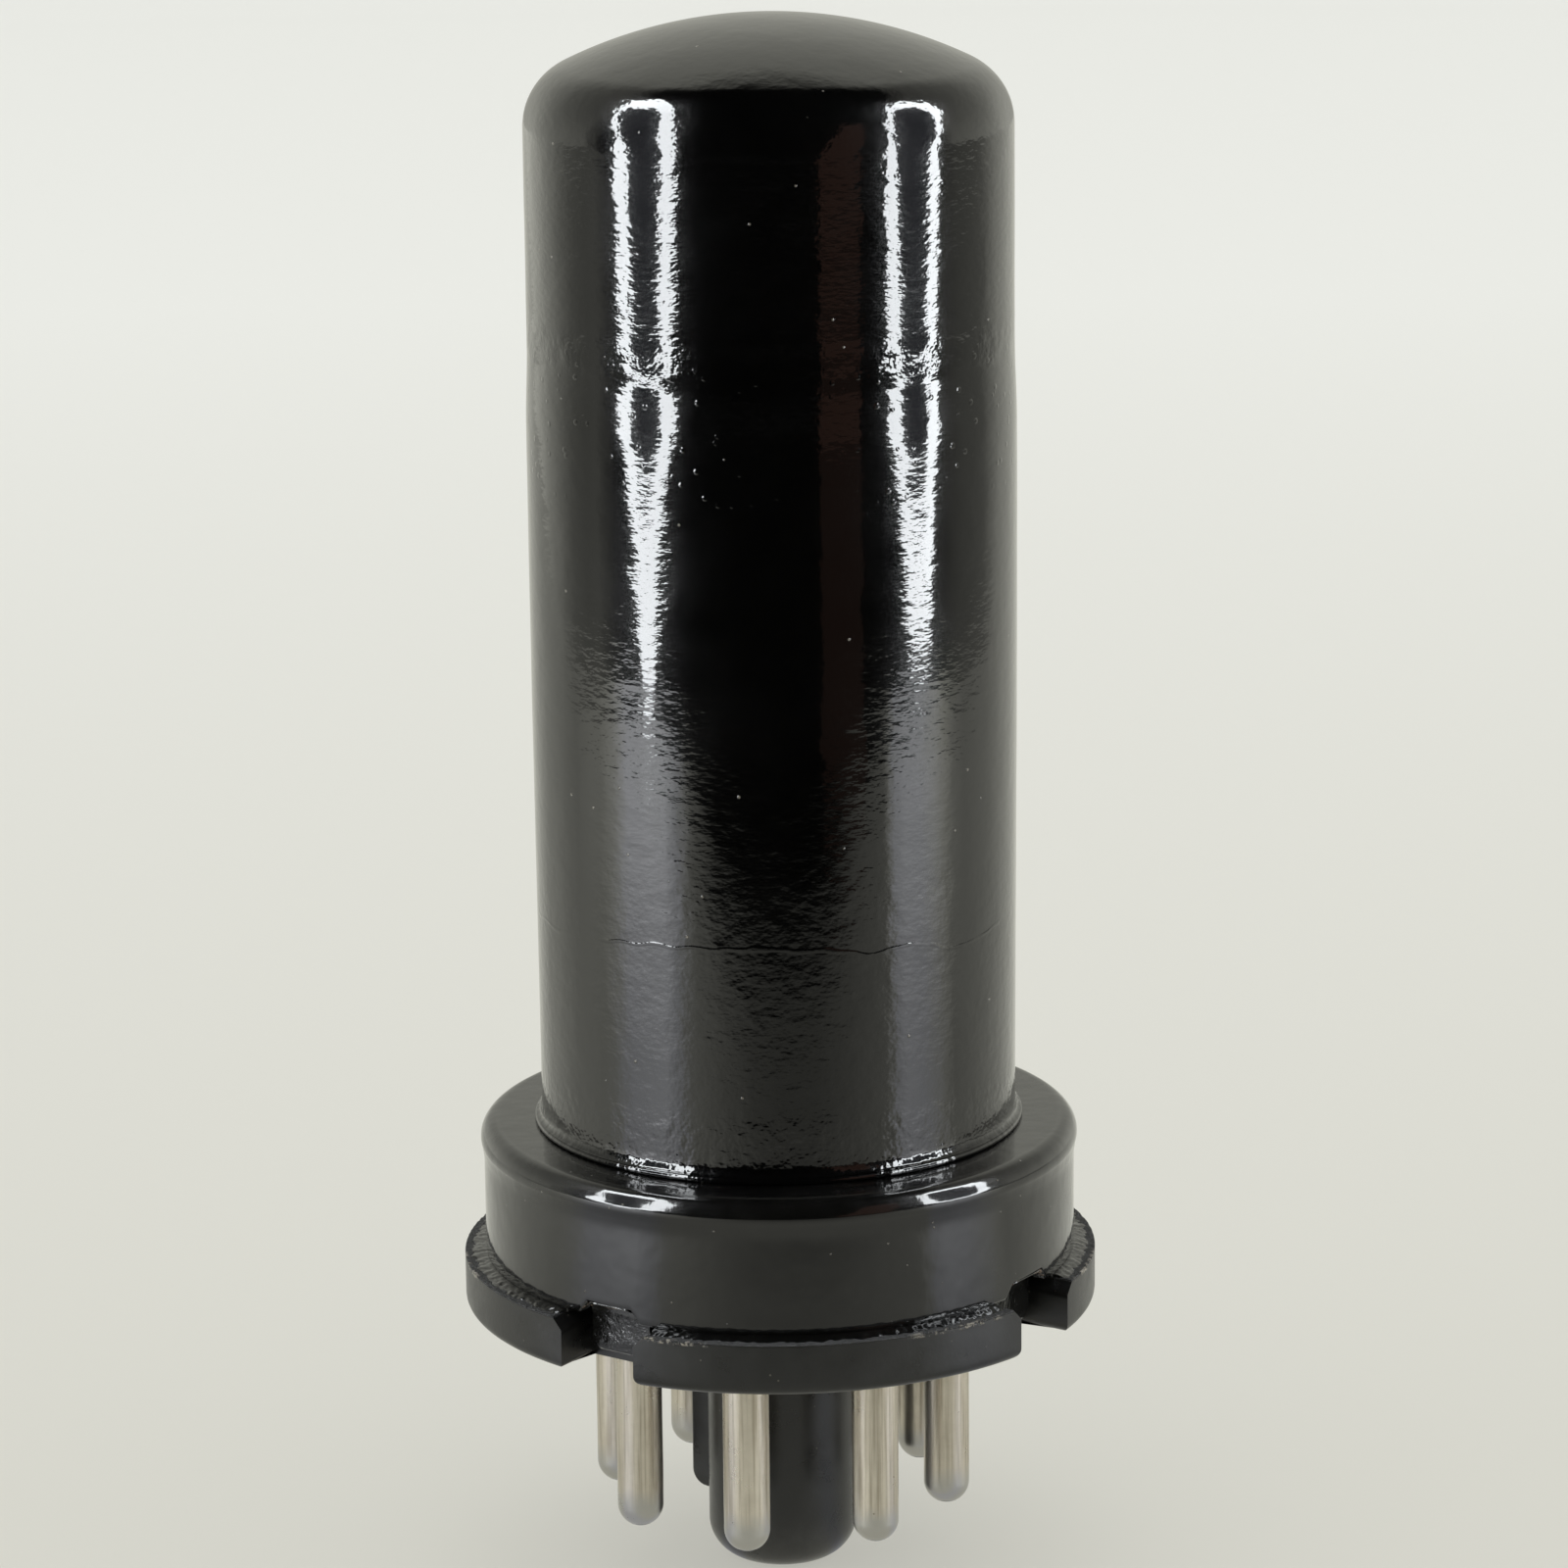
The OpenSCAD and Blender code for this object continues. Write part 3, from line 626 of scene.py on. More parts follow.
def seam_grid():
    """The enamel that ran into the seam between skirt and flange: a ragged, crumbling bead from
    one notch to the next."""
    half = math.asin((NOTCH_HALF + NOTCH_BEVEL + 0.15) / WAFER_R)
    angles = np.linspace(half, math.pi / 2 - half, 420)
    over = np.linspace(0, 1, 9)
    crown_h, fall, reach, sunk_z = 0.14, 0.16, 0.95, WAFER_T - 0.1
    crown = np.stack([SKIRT_R - 0.2 + reach * over, WAFER_T + crown_h - fall * over ** 2], -1)
    section = np.concatenate([[(SKIRT_R - 0.25, sunk_z)], crown, [(SKIRT_R + 0.7, sunk_z)]])
    free = np.concatenate([[0], np.clip(2 * over, 0, 1), [0]])[:, None]
    lumps = waves(angles[None, :], section[:, :1], 40, 220, 0.3)
    gaps = waves(angles[None, :], 0 * section[:, 1:], 20, 150, 1.0)
    radii = section[:, :1] + 0.07 * free * gaps
    heights = section[:, 1:] + 0.022 * free * lumps
    return np.swapaxes(round_grid(radii, heights, angles), 0, 1)


def add_grids(header, grids):
    """Joins closed strips to the header: each grid is a row of section loops."""
    shape = bmesh.new()
    shape.from_mesh(header.data)
    for grid in grids:
        rows, columns = grid.shape[:2]
        made = [shape.verts.new(p * MM) for p in grid.reshape(-1, 3)]
        for face in wrap(rows, columns):
            shape.faces.new([made[i] for i in face]).smooth = True
        shape.faces.new(made[:columns])
        shape.faces.new(made[-columns:][::-1])
    bmesh.ops.recalc_face_normals(shape, faces=shape.faces)
    shape.to_mesh(header.data)
    shape.free()


def plan_outline(circle_r, half, z, notch_r=NOTCH_R):
    """The flange's plan outline at height z: four arcs and four square notches, in one loop."""
    start = math.asin(half / circle_r)
    top = circle_r * math.cos(start)
    sweep = np.linspace(start, math.pi / 2 - start, 100)
    quarter = [(circle_r * math.cos(a), circle_r * math.sin(a)) for a in sweep]
    quarter += [(half, y) for y in np.linspace(top, notch_r, 12)[1:]]
    quarter += [(x, notch_r) for x in np.linspace(half, -half, 18)[1:]]
    quarter += [(-half, y) for y in np.linspace(notch_r, top, 12)[1:-1]]
    return np.concatenate(quarter_turns(np.column_stack([quarter, np.full(len(quarter), z)])))


def flange_grid():
    """Stacked plan outlines: rounded below, notches bevelled above, a ragged flash on top."""
    levels = []
    for turn in np.radians(np.linspace(-90, 0, 7)):
        inset = WAFER_ROUND * (1 - math.cos(turn))
        levels.append((WAFER_ROUND * (1 + math.sin(turn)), inset, inset))
    bevel_z = WAFER_T - NOTCH_BEVEL
    levels += [(z, 0, 0) for z in np.linspace(0.8, bevel_z, 6)]
    levels += [(z, 0, z - bevel_z) for z in np.linspace(bevel_z + 0.1, WAFER_T - 0.07, 5)]
    levels += [(WAFER_T - 0.02, 0.015, NOTCH_BEVEL - 0.03), (WAFER_T, 0.07, NOTCH_BEVEL)]
    grid = np.array([plan_outline(WAFER_R - inset, NOTCH_HALF + widen, z)
                     for z, inset, widen in levels])
    angles = np.arctan2(grid[0, :, 1], grid[0, :, 0])
    on_rim = np.hypot(grid[0, :, 0], grid[0, :, 1]) > WAFER_R - 0.9
    # The flash left by the mould stands up at the rim, broken away here and there
    ragged = np.clip(waves(angles, 0 * angles, 24, 160, 1.0), -1.2, 0.4) * on_rim
    grid[-1, :, 2] += 0.05 * ragged
    grid[-2, :, 2] += 0.04 * ragged
    inside = [plan_outline(WAFER_R - inset, NOTCH_HALF + NOTCH_BEVEL + inset, WAFER_T, NOTCH_R - inset)
              for inset in (0.25, 0.9)]
    inside += [inside[-1] * (share, share, 1) for share in (0.5, 0.0)]
    under = [grid[0] * (share, share, 1) for share in (0.0, 0.7)]
    return np.concatenate([under, grid, inside])


def key_grid():
    """The key along +Y: plan outlines with rounded outer corners, stacked from its lower end."""
    corner, inside = 0.22, 2.6
    levels = [(KEY_END, KEY_R - KEY_ROUND - 2)]
    for turn in np.radians(np.linspace(0, 90, 8)):
        levels.append((KEY_END + KEY_ROUND * (1 - math.cos(turn)), KEY_R - KEY_ROUND * (1 - math.sin(turn))))
    levels += [(z, KEY_R) for z in np.linspace(KEY_END + KEY_ROUND + 0.5, 0.2, 16)]
    grid = []
    for z, out in levels:
        side, end = KEY_HALF - corner, max(out - corner, inside + 0.01)
        loop = np.concatenate([
            [(-KEY_HALF, inside)], arc(-side, end, corner, 180, 90, 5), arc(side, end, corner, 90, 0, 5),
            [(KEY_HALF, inside)]])
        grid.append(np.column_stack([loop, np.full(len(loop), z)]))
    return np.array(grid)


def make_wafer():
    """The wafer: flange, guide post with its key, and the spigot that fits inside the skirt."""
    turn, fillet = full_turn(128), 0.25
    post = np.concatenate([
        [(0, -POST_L)],
        arc(POST_R - POST_ROUND, POST_ROUND - POST_L, POST_ROUND, -90, 0, 16),
        run((POST_R, POST_ROUND - POST_L), (POST_R, -fillet), 24)[1:],
        arc(POST_R + fillet, -fillet, fillet, 180, 90, 5)[1:],
        [(0, 0.3)],
    ])
    # A plain ring that stays inside the tongues, as the cup hides the rest of the spigot
    spigot_low, spigot_r = WAFER_T - 0.3, NOTCH_R - 0.1
    spigot = np.array([(CAVITY_R, spigot_low), (spigot_r, spigot_low), (spigot_r, SPIGOT_TOP),
                       (CAVITY_R, SPIGOT_TOP), (CAVITY_R, spigot_low)])
    points, faces, start = [], [], 0
    for grid in (flange_grid(), round_grid(post[:, 0], post[:, 1], turn),
                 round_grid(spigot[:, 0], spigot[:, 1], turn), key_grid()):
        points.append(grid.reshape(-1, 3))
        faces += wrap(grid.shape[0], grid.shape[1], start)
        start += len(points[-1])
    wafer = mesh_object("base_wafer_moulding", np.concatenate(points), faces, PHENOLIC)
    finish_piece(wafer, "phenolic", "base_wafer")


def make_pins():
    """Eight hollow drawn pins, their tips rounded in to a hole, their tops swaged over the wafer."""
    tip = -PIN_L + PIN_R
    hole = math.degrees(math.asin(TIP_HOLE_R / PIN_R))
    bore = PIN_R - PIN_WALL
    section = np.concatenate([
        [(bore, -PIN_L + 2.5), (bore * 0.9, -PIN_L + 0.7), (TIP_HOLE_R - 0.03, -PIN_L + 0.35)],
        arc(0, tip, PIN_R - 0.03, -90 + hole - 2, -90 + hole + 2, 1),
        arc(0, tip, PIN_R, -90 + hole + 5, 0, 12),
        run((PIN_R, tip), (PIN_R, 0.3), 40)[1:],
        [(PIN_R, PIN_LIP_LOW), (PIN_LIP_R, PIN_LIP_LOW), (PIN_LIP_R, PIN_LIP_TOP), (bore, PIN_LIP_TOP),
         (bore, -PIN_L + 2.5)],
    ])
    radii, heights = section[:, :1], section[:, 1:]
    shank = (radii > PIN_R - 0.05) * ease(heights, -10.4, -9) * (1 - ease(heights, -1.5, -0.3))
    turn = full_turn(64)
    for k in range(1, 9):
        a = pin_angle(k)
        grid = round_grid(radii + 0.004 * waves(turn, heights, 6, 3, 4.0) * shank, section[:, 1], turn)
        grid = grid + np.array([PIN_RING_R * math.cos(a), PIN_RING_R * math.sin(a), 0])
        pin = mesh_object(f"plated_pin_{k}", grid.reshape(-1, 3), wrap(len(section), len(turn)), PLATING)
        finish_piece(pin, "pin_plating", f"pin_{k}", crease=45)


def dress_hidden_nodes():
    """Gives the nodes that stay as modelled their finishes."""
    finishes = {"exhaust": (BARE_STEEL, "bare_steel"), "solder": (SOLDER, "solder"),
                "lead": (LEAD_WIRE, "lead_wire"), "eyelet": (EYELET_ALLOY, "eyelet_alloy"),
                "bead": (GLASS, "bead_glass")}
    for name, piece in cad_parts.items():
        kind = name.split("_")[0]
        if kind in finishes:
            finish, slot = finishes[kind]
            piece.data.materials.clear()
            piece.data.materials.append(finish)


make_can()
make_header()
make_wafer()
make_pins()
dress_hidden_nodes()


# The studio. Its places are written as the photograph sees them, x to the right, y away from
# the camera and z up from the seating plane, then turned round the part. Azimuths are counted
# from the camera's side, positive to the right.
TURN = Matrix.Rotation(PHOTO_TURN, 4, "Z")

# The paper floor, flat and then swept up to a low wall, the strength of its own glow, and the
# share that the glow has in how it looks
FLOOR_Z = -POST_L
FLOOR_FLAT_R, FLOOR_SWEEP_R, FLOOR_WALL = 1100, 300, 200
FLOOR_GLOW, FLOOR_GLOW_SHARE = 0.93, 0.6

# The real light: an overhead lamp, in millimetres, metres and watts, and the sky's level
LAMP_PLACE, LAMP_SIZE, LAMP_POWER = (0, 250, 1000), 1.3, 2.2
SKY = 0.85

# What the gloss mirrors: the dome of walls, the paper with its oval front edge, the lights and
# the door, each with its distance from the tube
WALLS_R, PAPER_R = 700, 690
PAPER_HALF_WIDTH, PAPER_FRONT, PAPER_SQUARENESS = 215, 155, 2.6
PAPER_UNDER_TUBE = 0.62
LIGHT_DISTANCE, LIGHT_STRENGTH, LIGHT_INSIDE = 190, 18.0, 0.2
DOOR_AZIMUTH, DOOR_DISTANCE, DOOR_HALF_WIDTH = 31.5, 420, 72

# The camera, found from the pin tips and the outline
FOCAL_PX, IMAGE_PX = 6078.5, 1600
CAMERA_TILT, CAMERA_ROLL = math.radians(14.0), math.radians(-0.577)
CAMERA_AIM, CAMERA_DISTANCE = (0.44, 0, 27.1), 302.96

# The pieces that stand for what the gloss mirrors are seen by glossy rays alone
MIRRORED_ONLY = dict(camera=False, diffuse=False, shadow=False, transmission=False)

# What the glossy enamel mirrors at each azimuth: the paper near the tube, how much more it glows
# nearer the two lights, and the paper and walls further off
MIRRORED_PAPER = [
    (-180, 0.58, 0.0, 0.58), (-148, 0.57, 0.0, 0.83), (-135, 0.57, 0.0, 0.92), (-120, 0.70, 0.0, 0.80),
    (-105, 0.78, 0.0, 0.50), (-95, 0.90, 0.3, 0.47), (-88, 0.95, 0.5, 0.55), (-80, 1.15, 1.25, 0.25),
    (-72, 1.7, 2.4, 0.0), (-60, 2.1, 2.4, 0.0), (-52, 2.35, 2.3, 0.0), (-46, 1.7, 1.3, 0.0),
    (-40, 1.1, 0.3, 0.0), (-36, 1.0, 0.0, 0.0), (-24, 0.69, 0.0, 0.0), (-10, 0.43, 0.0, 0.0),
    (3, 0.36, 0.0, 0.0), (17, 0.38, 0.0, 0.0), (31, 0.52, 0.0, 0.0), (46, 0.72, 0.0, 0.0),
    (51, 0.80, 0.1, 0.0), (56, 1.7, 1.3, 0.0), (62, 2.0, 1.5, 0.0), (70, 1.7, 1.6, 0.0),
    (79, 1.35, 1.6, 0.05), (90, 0.70, 0.5, 0.3), (98, 0.70, 0.1, 0.37), (115, 0.66, 0.0, 0.37),
    (125, 0.65, 0.0, 0.60), (130, 0.65, 0.0, 0.68), (142, 0.62, 0.0, 0.68), (180, 0.58, 0.0, 0.58),
]
# What it mirrors at each elevation above the paper: behind the tube and at its sides
MIRRORED_WALLS = [
    (0, 0.40, 0.85), (8, 0.42, 0.83), (15, 0.45, 0.78), (20, 0.47, 0.70), (26, 0.52, 0.61),
    (31, 0.56, 0.55), (37, 0.60, 0.48), (43, 0.63, 0.42), (48, 0.65, 0.40), (51, 0.68, 0.38),
    (54, 0.70, 0.36), (57, 0.56, 0.33), (60, 0.34, 0.12), (62.5, 0.12, 0.0), (65, 0.0, 0.0),
]
# A ramp's stop holds a level up to 1, so levels are written as shares of this one
STOP_UNIT = 5.0


def studio_glow(name, strength, colour="#ffffff"):
    """A plain glow for a piece of the studio, where a strength of 1 is white."""
    made = bpy.data.materials.new(name)
    made.use_nodes = True
    tree = made.node_tree
    tree.nodes.clear()
    glow = node(tree, "ShaderNodeEmission", {"Color": linear(colour), "Strength": strength})
    node(tree, "ShaderNodeOutputMaterial", {"Surface": glow})
    return made, tree, glow


def lay_stops(ramp, stops, low, high):
    """Sets a colour ramp's stops: a place between low and high, and up to three levels at it."""
    elements = ramp.color_ramp.elements
    for i, (place, *levels) in enumerate(stops):
        if i == len(stops) - 1:
            stop = elements[-1]
        elif i == 0:
            stop = elements[0]
        else:
            stop = elements.new((place - low) / (high - low))
        stop.position = (place - low) / (high - low)
        stop.color = [level / STOP_UNIT for level in (levels + [0.0, 0.0])[:3]] + [1.0]


def set_piece(name, points, faces, finish, **seen):
    """A piece of the studio, with the kinds of ray that see it."""
    made = mesh_object(name, points, faces, finish)
    made.matrix_world = TURN
    for ray, value in seen.items():
        setattr(made, "visible_" + ray, value)
    return made


def make_floor():
    """Matt paper that sweeps up all round, with painted shade that makes it a little darker towards the
    camera.
    """
    sweep_end = FLOOR_FLAT_R + FLOOR_SWEEP_R
    floor, tree, shader, place = material("matt_paper_floor", Roughness=0.9)
    shader.inputs["Specular IOR Level"].default_value = 0.2
    split = node(tree, "ShaderNodeSeparateXYZ", {0: place})
    # Painted shade: the paper's colour darkens towards the camera, where less light falls
    far = node(tree, "ShaderNodeMapRange", {
        "Value": split.outputs[1], "From Min": -60 * MM, "From Max": 400 * MM})
    tone = node(tree, "ShaderNodeMix", {0: far, 6: linear("#dbdad0"), 7: linear("#f0f1ec")},
                data_type="RGBA")
    tree.links.new(tone.outputs[2], shader.inputs["Base Color"])
    # To the camera, gloss and glass, over half of the paper's tone is its own, so that the tube's
    # shadow stays as faint as it is under broad light
    own = node(tree, "ShaderNodeEmission", {"Color": tone.outputs[2], "Strength": FLOOR_GLOW})
    seen = node(tree, "ShaderNodeLightPath")
    looks = node(tree, "ShaderNodeMath", {
        0: seen.outputs["Is Camera Ray"], 1: seen.outputs["Is Glossy Ray"]}, operation="ADD")
    looks = node(tree, "ShaderNodeMath", {0: looks, 1: seen.outputs["Is Transmission Ray"]},
                 operation="ADD", use_clamp=True)
    share = node(tree, "ShaderNodeMath", {0: looks, 1: FLOOR_GLOW_SHARE}, operation="MULTIPLY")
    paper = node(tree, "ShaderNodeMixShader", {0: share, 1: shader, 2: own})
    tree.links.new(paper.outputs[0], tree.nodes["Material Output"].inputs["Surface"])
    section = np.concatenate([
        run((0, FLOOR_Z), (FLOOR_FLAT_R, FLOOR_Z), 12),
        arc(FLOOR_FLAT_R, FLOOR_Z + FLOOR_SWEEP_R, FLOOR_SWEEP_R, -90, 0, 12)[1:],
        run((sweep_end, FLOOR_Z + FLOOR_SWEEP_R), (sweep_end, FLOOR_Z + FLOOR_SWEEP_R + FLOOR_WALL), 2)[1:],
    ])
    turn = full_turn(96)
    points = round_grid(section[:, 0], section[:, 1], turn).reshape(-1, 3)
    set_piece("floor", points, wrap(len(section), len(turn)), floor, glossy=False)


def studio_place(tree):
    """Where a point of a mirrored piece is: its split place, its azimuth from -1 to 1 half turns,
    0 at the camera's side and positive to the right, and its distance from the tube's foot."""
    place = node(tree, "ShaderNodeTexCoord").outputs["Object"]
    split = node(tree, "ShaderNodeSeparateXYZ", {0: place})
    away = node(tree, "ShaderNodeVectorMath", {0: place}, operation="LENGTH").outputs["Value"]
    back = node(tree, "ShaderNodeMath", {0: split.outputs[1], 1: -1.0}, operation="MULTIPLY")
    turn = node(tree, "ShaderNodeMath", {0: split.outputs[0], 1: back}, operation="ARCTAN2")
    azimuth = node(tree, "ShaderNodeMath", {0: turn, 1: 1 / math.pi}, operation="MULTIPLY")
    return split, azimuth, away


def make_mirrored_paper():
    """The paper as the gloss mirrors it: its edge in front of the tube, and the lights' pools."""
    glow, tree, emit = studio_glow("mirrored_paper", 0.0)
    split, azimuth, away = studio_place(tree)
    spread = node(tree, "ShaderNodeMapRange", {"Value": azimuth, "From Min": -1.0, "From Max": 1.0})
    ramp = node(tree, "ShaderNodeValToRGB", {0: spread})
    lay_stops(ramp, MIRRORED_PAPER, -180, 180)
    levels = node(tree, "ShaderNodeSeparateColor", {0: ramp})
    # Warm paper, but cool where the lights pool
    pool = node(tree, "ShaderNodeMapRange", {
        "Value": levels.outputs[0], "From Min": 1.0 / STOP_UNIT, "From Max": 1.7 / STOP_UNIT})
    tint = node(tree, "ShaderNodeMix", {0: pool, 6: linear("#fffff2"), 7: linear("#f9fbff")},
                data_type="RGBA")
    tree.links.new(tint.outputs[2], emit.inputs["Color"])
    nearer = node(tree, "ShaderNodeMapRange", {
        "Value": away, "From Min": 104 * MM, "From Max": LIGHT_DISTANCE * MM})
    lit = node(tree, "ShaderNodeMath", {0: levels.outputs[1], 1: nearer, 2: levels.outputs[0]},
               operation="MULTIPLY_ADD")
    # Round the pins the paper lies in the tube's own faint shade
    under = node(tree, "ShaderNodeMapRange", {
        "Value": away, "From Min": 35 * MM, "From Max": 95 * MM}, interpolation_type="SMOOTHSTEP")
    near = node(tree, "ShaderNodeMix", {0: under, 2: PAPER_UNDER_TUBE / STOP_UNIT, 3: lit})
    # The front edge of the paper is a flat oval
    sides = node(tree, "ShaderNodeMath", {0: split.outputs[0], 1: 1 / (PAPER_HALF_WIDTH * MM)},
                 operation="MULTIPLY")
    sides = node(tree, "ShaderNodeMath", {0: sides}, operation="ABSOLUTE")
    sides = node(tree, "ShaderNodeMath", {0: sides, 1: PAPER_SQUARENESS}, operation="POWER")
    front = node(tree, "ShaderNodeMath", {0: split.outputs[1], 1: -1 / (PAPER_FRONT * MM)},
                 operation="MULTIPLY")
    front = node(tree, "ShaderNodeMath", {0: front, 1: 0.0}, operation="MAXIMUM")
    front = node(tree, "ShaderNodeMath", {0: front, 1: PAPER_SQUARENESS}, operation="POWER")
    oval = node(tree, "ShaderNodeMath", {0: sides, 1: front}, operation="ADD")
    beyond = node(tree, "ShaderNodeMapRange", {"Value": oval, "From Min": 0.92, "From Max": 1.0})
    # Straight in front of the tube the paper falls into the shade of the camera
    shade = node(tree, "ShaderNodeMapRange", {
        "Value": front, "From Min": 0.4, "From Max": 0.82, "To Min": 1.0, "To Max": 0.05})
    middle = node(tree, "ShaderNodeMath", {0: azimuth}, operation="ABSOLUTE")
    off_middle = node(tree, "ShaderNodeMapRange", {
        "Value": middle, "From Min": 0.15, "From Max": 0.23})
    shaded = node(tree, "ShaderNodeMix", {0: off_middle, 2: shade, 3: 1.0})
    near = node(tree, "ShaderNodeMath", {0: near, 1: shaded}, operation="MULTIPLY")
    level = node(tree, "ShaderNodeMix", {0: beyond, 2: near, 3: levels.outputs[2]})
    scaled = node(tree, "ShaderNodeMath", {0: level, 1: STOP_UNIT}, operation="MULTIPLY")
    tree.links.new(scaled.outputs[0], emit.inputs["Strength"])
    turn, radii = full_turn(64), [0, 100, 300, PAPER_R]
    disc = round_grid(radii, np.zeros(len(radii)), turn).reshape(-1, 3)
    paper = set_piece("mirrored_paper", disc, wrap(len(radii), len(turn)), glow, **MIRRORED_ONLY)
    paper.matrix_world = TURN @ Matrix.Translation((0, 0, (FLOOR_Z + 0.2) * MM))


def make_mirrored_walls():
    """The walls and ceiling as the gloss mirrors them: pale behind and beside the tube, and a
    dark room on the camera's side and overhead."""
    glow, tree, emit = studio_glow("mirrored_walls", 0.0, "#fffff2")
    split, azimuth, away = studio_place(tree)
    side = node(tree, "ShaderNodeMath", {0: azimuth}, operation="ABSOLUTE")
    sine = node(tree, "ShaderNodeMath", {0: split.outputs[2], 1: away}, operation="DIVIDE")
    climb = node(tree, "ShaderNodeMath", {0: sine}, operation="ARCSINE")
    spread = node(tree, "ShaderNodeMapRange", {
        "Value": climb, "From Min": 0.0, "From Max": math.pi / 2})
    ramp = node(tree, "ShaderNodeValToRGB", {0: spread})
    lay_stops(ramp, MIRRORED_WALLS, 0, 90)
    levels = node(tree, "ShaderNodeSeparateColor", {0: ramp})
    rear = node(tree, "ShaderNodeMapRange", {"Value": side, "From Min": 0.78, "From Max": 0.9})
    level = node(tree, "ShaderNodeMix", {0: rear, 2: levels.outputs[1], 3: levels.outputs[0]})
    # The walls end beside the tube, and the camera's side is nearly black
    open_side = node(tree, "ShaderNodeMapRange", {
        "Value": side, "From Min": 0.46, "From Max": 0.53, "To Min": 0.01, "To Max": STOP_UNIT})
    scaled = node(tree, "ShaderNodeMath", {0: level, 1: open_side}, operation="MULTIPLY")
    tree.links.new(scaled.outputs[0], emit.inputs["Strength"])
    section = arc(0, 0, WALLS_R, 0, 90, 20)
    turn = full_turn(96)
    bowl = round_grid(section[:, 0], section[:, 1], turn).reshape(-1, 3)
    walls = set_piece("mirrored_walls", bowl, wrap(len(section), len(turn)), glow, **MIRRORED_ONLY)
    walls.matrix_world = TURN @ Matrix.Translation((0, 0, FLOOR_Z * MM))


def hang_sheet(name, azimuth, corners, finish):
    """A flat glowing piece of the studio at an azimuth in degrees. A corner is its distance from
    the tube, then its place across and up from the paper, in millimetres."""
    a = math.radians(azimuth)
    out = np.array([math.sin(a), -math.cos(a), 0])
    across = np.array([math.cos(a), math.sin(a), 0])
    points = [out * away + across * x + (0, 0, FLOOR_Z + z) for away, x, z in corners]
    set_piece(name, points, [tuple(range(len(points)))], finish, **MIRRORED_ONLY)


def make_ring_light(name, azimuth, outer, hole):
    """A tall ring-shaped light that stands on the paper beside the tube, seen by the gloss
    alone: its outline and its hole as corners, in millimetres across and up from the paper."""
    glow, _, _ = studio_glow(name + "_glow", LIGHT_STRENGTH, "#f8fcff")
    dark, _, _ = studio_glow(name + "_inside", LIGHT_INSIDE, "#d8dcf0")
    hang_sheet(name, azimuth, [(LIGHT_DISTANCE, x, z) for x, z in outer], glow)
    hang_sheet(name + "_hole", azimuth, [(LIGHT_DISTANCE - 2, x, z) for x, z in hole], dark)


# The lights' corners. The can's round wall narrows what it mirrors to upright bars
LEFT_LIGHT = [
    (13, 4.8), (6, 5.6), (2, 7), (1, 10), (-3, 13), (-11, 17.8), (-19, 23), (-28, 33), (-34, 37),
    (-38, 46), (-39, 115), (-82, 200), (-128, 285), (-184, 385), (-223, 440), (-208, 512), (-198, 584),
    (-110, 500), (-38, 399), (10, 300), (49, 215), (66, 120), (73, 50), (68, 42), (60, 35), (50, 23),
    (38, 19), (28, 12.7), (25, 9), (22, 6.2), (18, 5),
]
LEFT_HOLE = [
    (13, 23), (1, 26), (-8, 34), (-14, 46), (-15, 82), (-52, 170), (-104, 275), (-116, 309), (-76, 334),
    (-48, 345), (-14, 290), (26, 170), (45, 60), (40, 40), (32, 31), (22, 25),
]
RIGHT_LIGHT = [
    (-8, 9.8), (-17, 9.8), (-22, 10.6), (-28, 12), (-34, 15.4), (-44, 20.3), (-57, 30), (-65, 38),
    (-67, 50), (-60, 120), (-35, 200), (0, 281), (40, 330), (79, 345), (103, 318), (119, 268),
    (96, 212), (60, 140), (35, 91), (34, 45), (30, 37), (26, 28), (18, 20), (16, 14.6), (8, 11.8), (-2, 10.2),
]
RIGHT_HOLE = [
    (-12, 22), (-22, 22.6), (-31, 26), (-38, 36), (-45, 47), (-43, 121), (-18, 200), (10, 258),
    (29, 272), (60, 261), (71, 224), (63, 203), (35, 120), (15, 49), (8, 38), (8, 28), (0, 22.6),
]


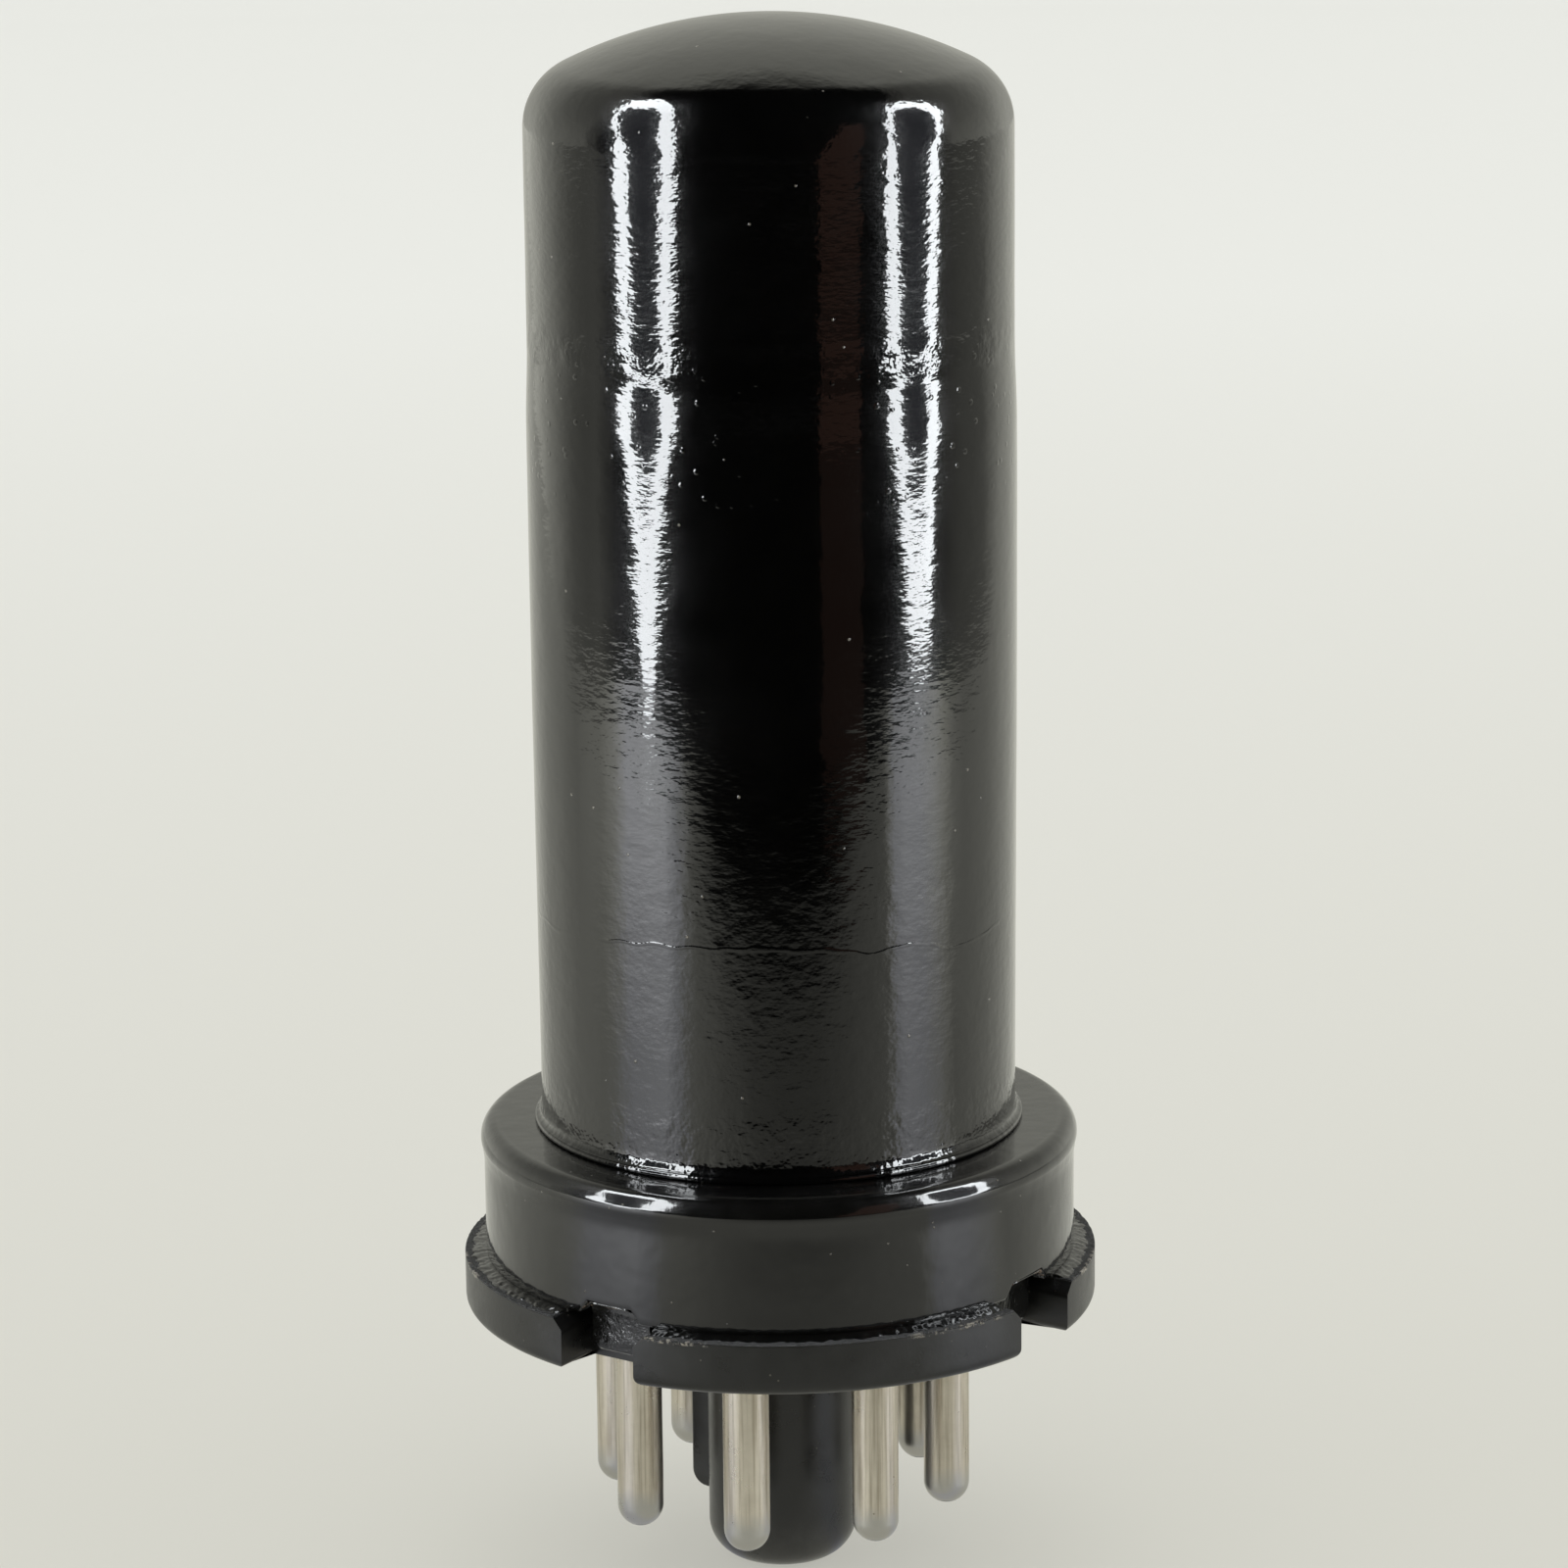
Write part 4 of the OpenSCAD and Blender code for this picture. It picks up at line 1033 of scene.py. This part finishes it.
def make_door():
    """The brown door of the dark room behind the camera's right, and its shine on the floor."""
    wood, _, _ = studio_glow("varnished_door", 0.8, "#956f61")
    # The door's shine on the floor is a painted reflection: a dim brown sheet lying on the paper, seen by the
    # gloss alone
    shine_glow, _, _ = studio_glow("painted_door_shine", 0.4, "#8a6a5e")
    hang_sheet("door", DOOR_AZIMUTH, [
        (DOOR_DISTANCE, -DOOR_HALF_WIDTH, 2), (DOOR_DISTANCE, DOOR_HALF_WIDTH, 2),
        (DOOR_DISTANCE, 150, 420), (DOOR_DISTANCE, 60, 420)], wood)
    hang_sheet("door_shine", DOOR_AZIMUTH, [
        (172, -30, 1), (172, 30, 1),
        (DOOR_DISTANCE, DOOR_HALF_WIDTH, 1), (DOOR_DISTANCE, -DOOR_HALF_WIDTH, 1)], shine_glow)


def make_lamp():
    """A broad soft lamp overhead, behind the tube; its own glare is kept out of the gloss."""
    lamp = bpy.data.lights.new("overhead", "AREA")
    lamp.shape, lamp.size, lamp.energy = "DISK", LAMP_SIZE, LAMP_POWER
    made = bpy.data.objects.new("overhead", lamp)
    bpy.context.scene.collection.objects.link(made)
    made.location = TURN @ Vector(LAMP_PLACE) * MM
    made.visible_glossy = False
    made.visible_camera = False


def make_world():
    """An even white sky at the level at which a colour looks as it is written."""
    world = bpy.data.worlds.new("studio")
    bpy.context.scene.world = world
    world.use_nodes = True
    tree = world.node_tree
    tree.nodes.clear()
    sky = node(tree, "ShaderNodeBackground", {"Color": linear("#fdfdfb"), "Strength": SKY})
    node(tree, "ShaderNodeOutputWorld", {"Surface": sky})


def make_camera():
    """A long lens at the photograph's place, tilted down and a little rolled."""
    data = bpy.data.cameras.new("photo_view")
    data.sensor_width = 36
    data.lens = FOCAL_PX / IMAGE_PX * data.sensor_width
    data.clip_start, data.clip_end = 0.01, 20
    camera = bpy.data.objects.new("photo_view", data)
    bpy.context.scene.collection.objects.link(camera)
    ahead = Vector((0, math.cos(CAMERA_TILT), -math.sin(CAMERA_TILT)))
    right = Vector((1, 0, 0))
    up = right.cross(ahead)
    place = Vector(CAMERA_AIM) - ahead * CAMERA_DISTANCE
    across = math.cos(CAMERA_ROLL) * right + math.sin(CAMERA_ROLL) * up
    upward = math.cos(CAMERA_ROLL) * up - math.sin(CAMERA_ROLL) * right
    axes = Matrix((across, upward, -ahead)).transposed().to_4x4()
    camera.matrix_world = TURN @ Matrix.Translation(place * MM) @ axes
    bpy.context.scene.camera = camera


make_floor()
make_mirrored_paper()
make_mirrored_walls()
make_ring_light("left_light", -62.8, LEFT_LIGHT, LEFT_HOLE)
make_ring_light("right_light", 73, RIGHT_LIGHT, RIGHT_HOLE)
make_door()
make_lamp()
make_world()
make_camera()

bpy.context.scene.view_settings.view_transform = "Standard"
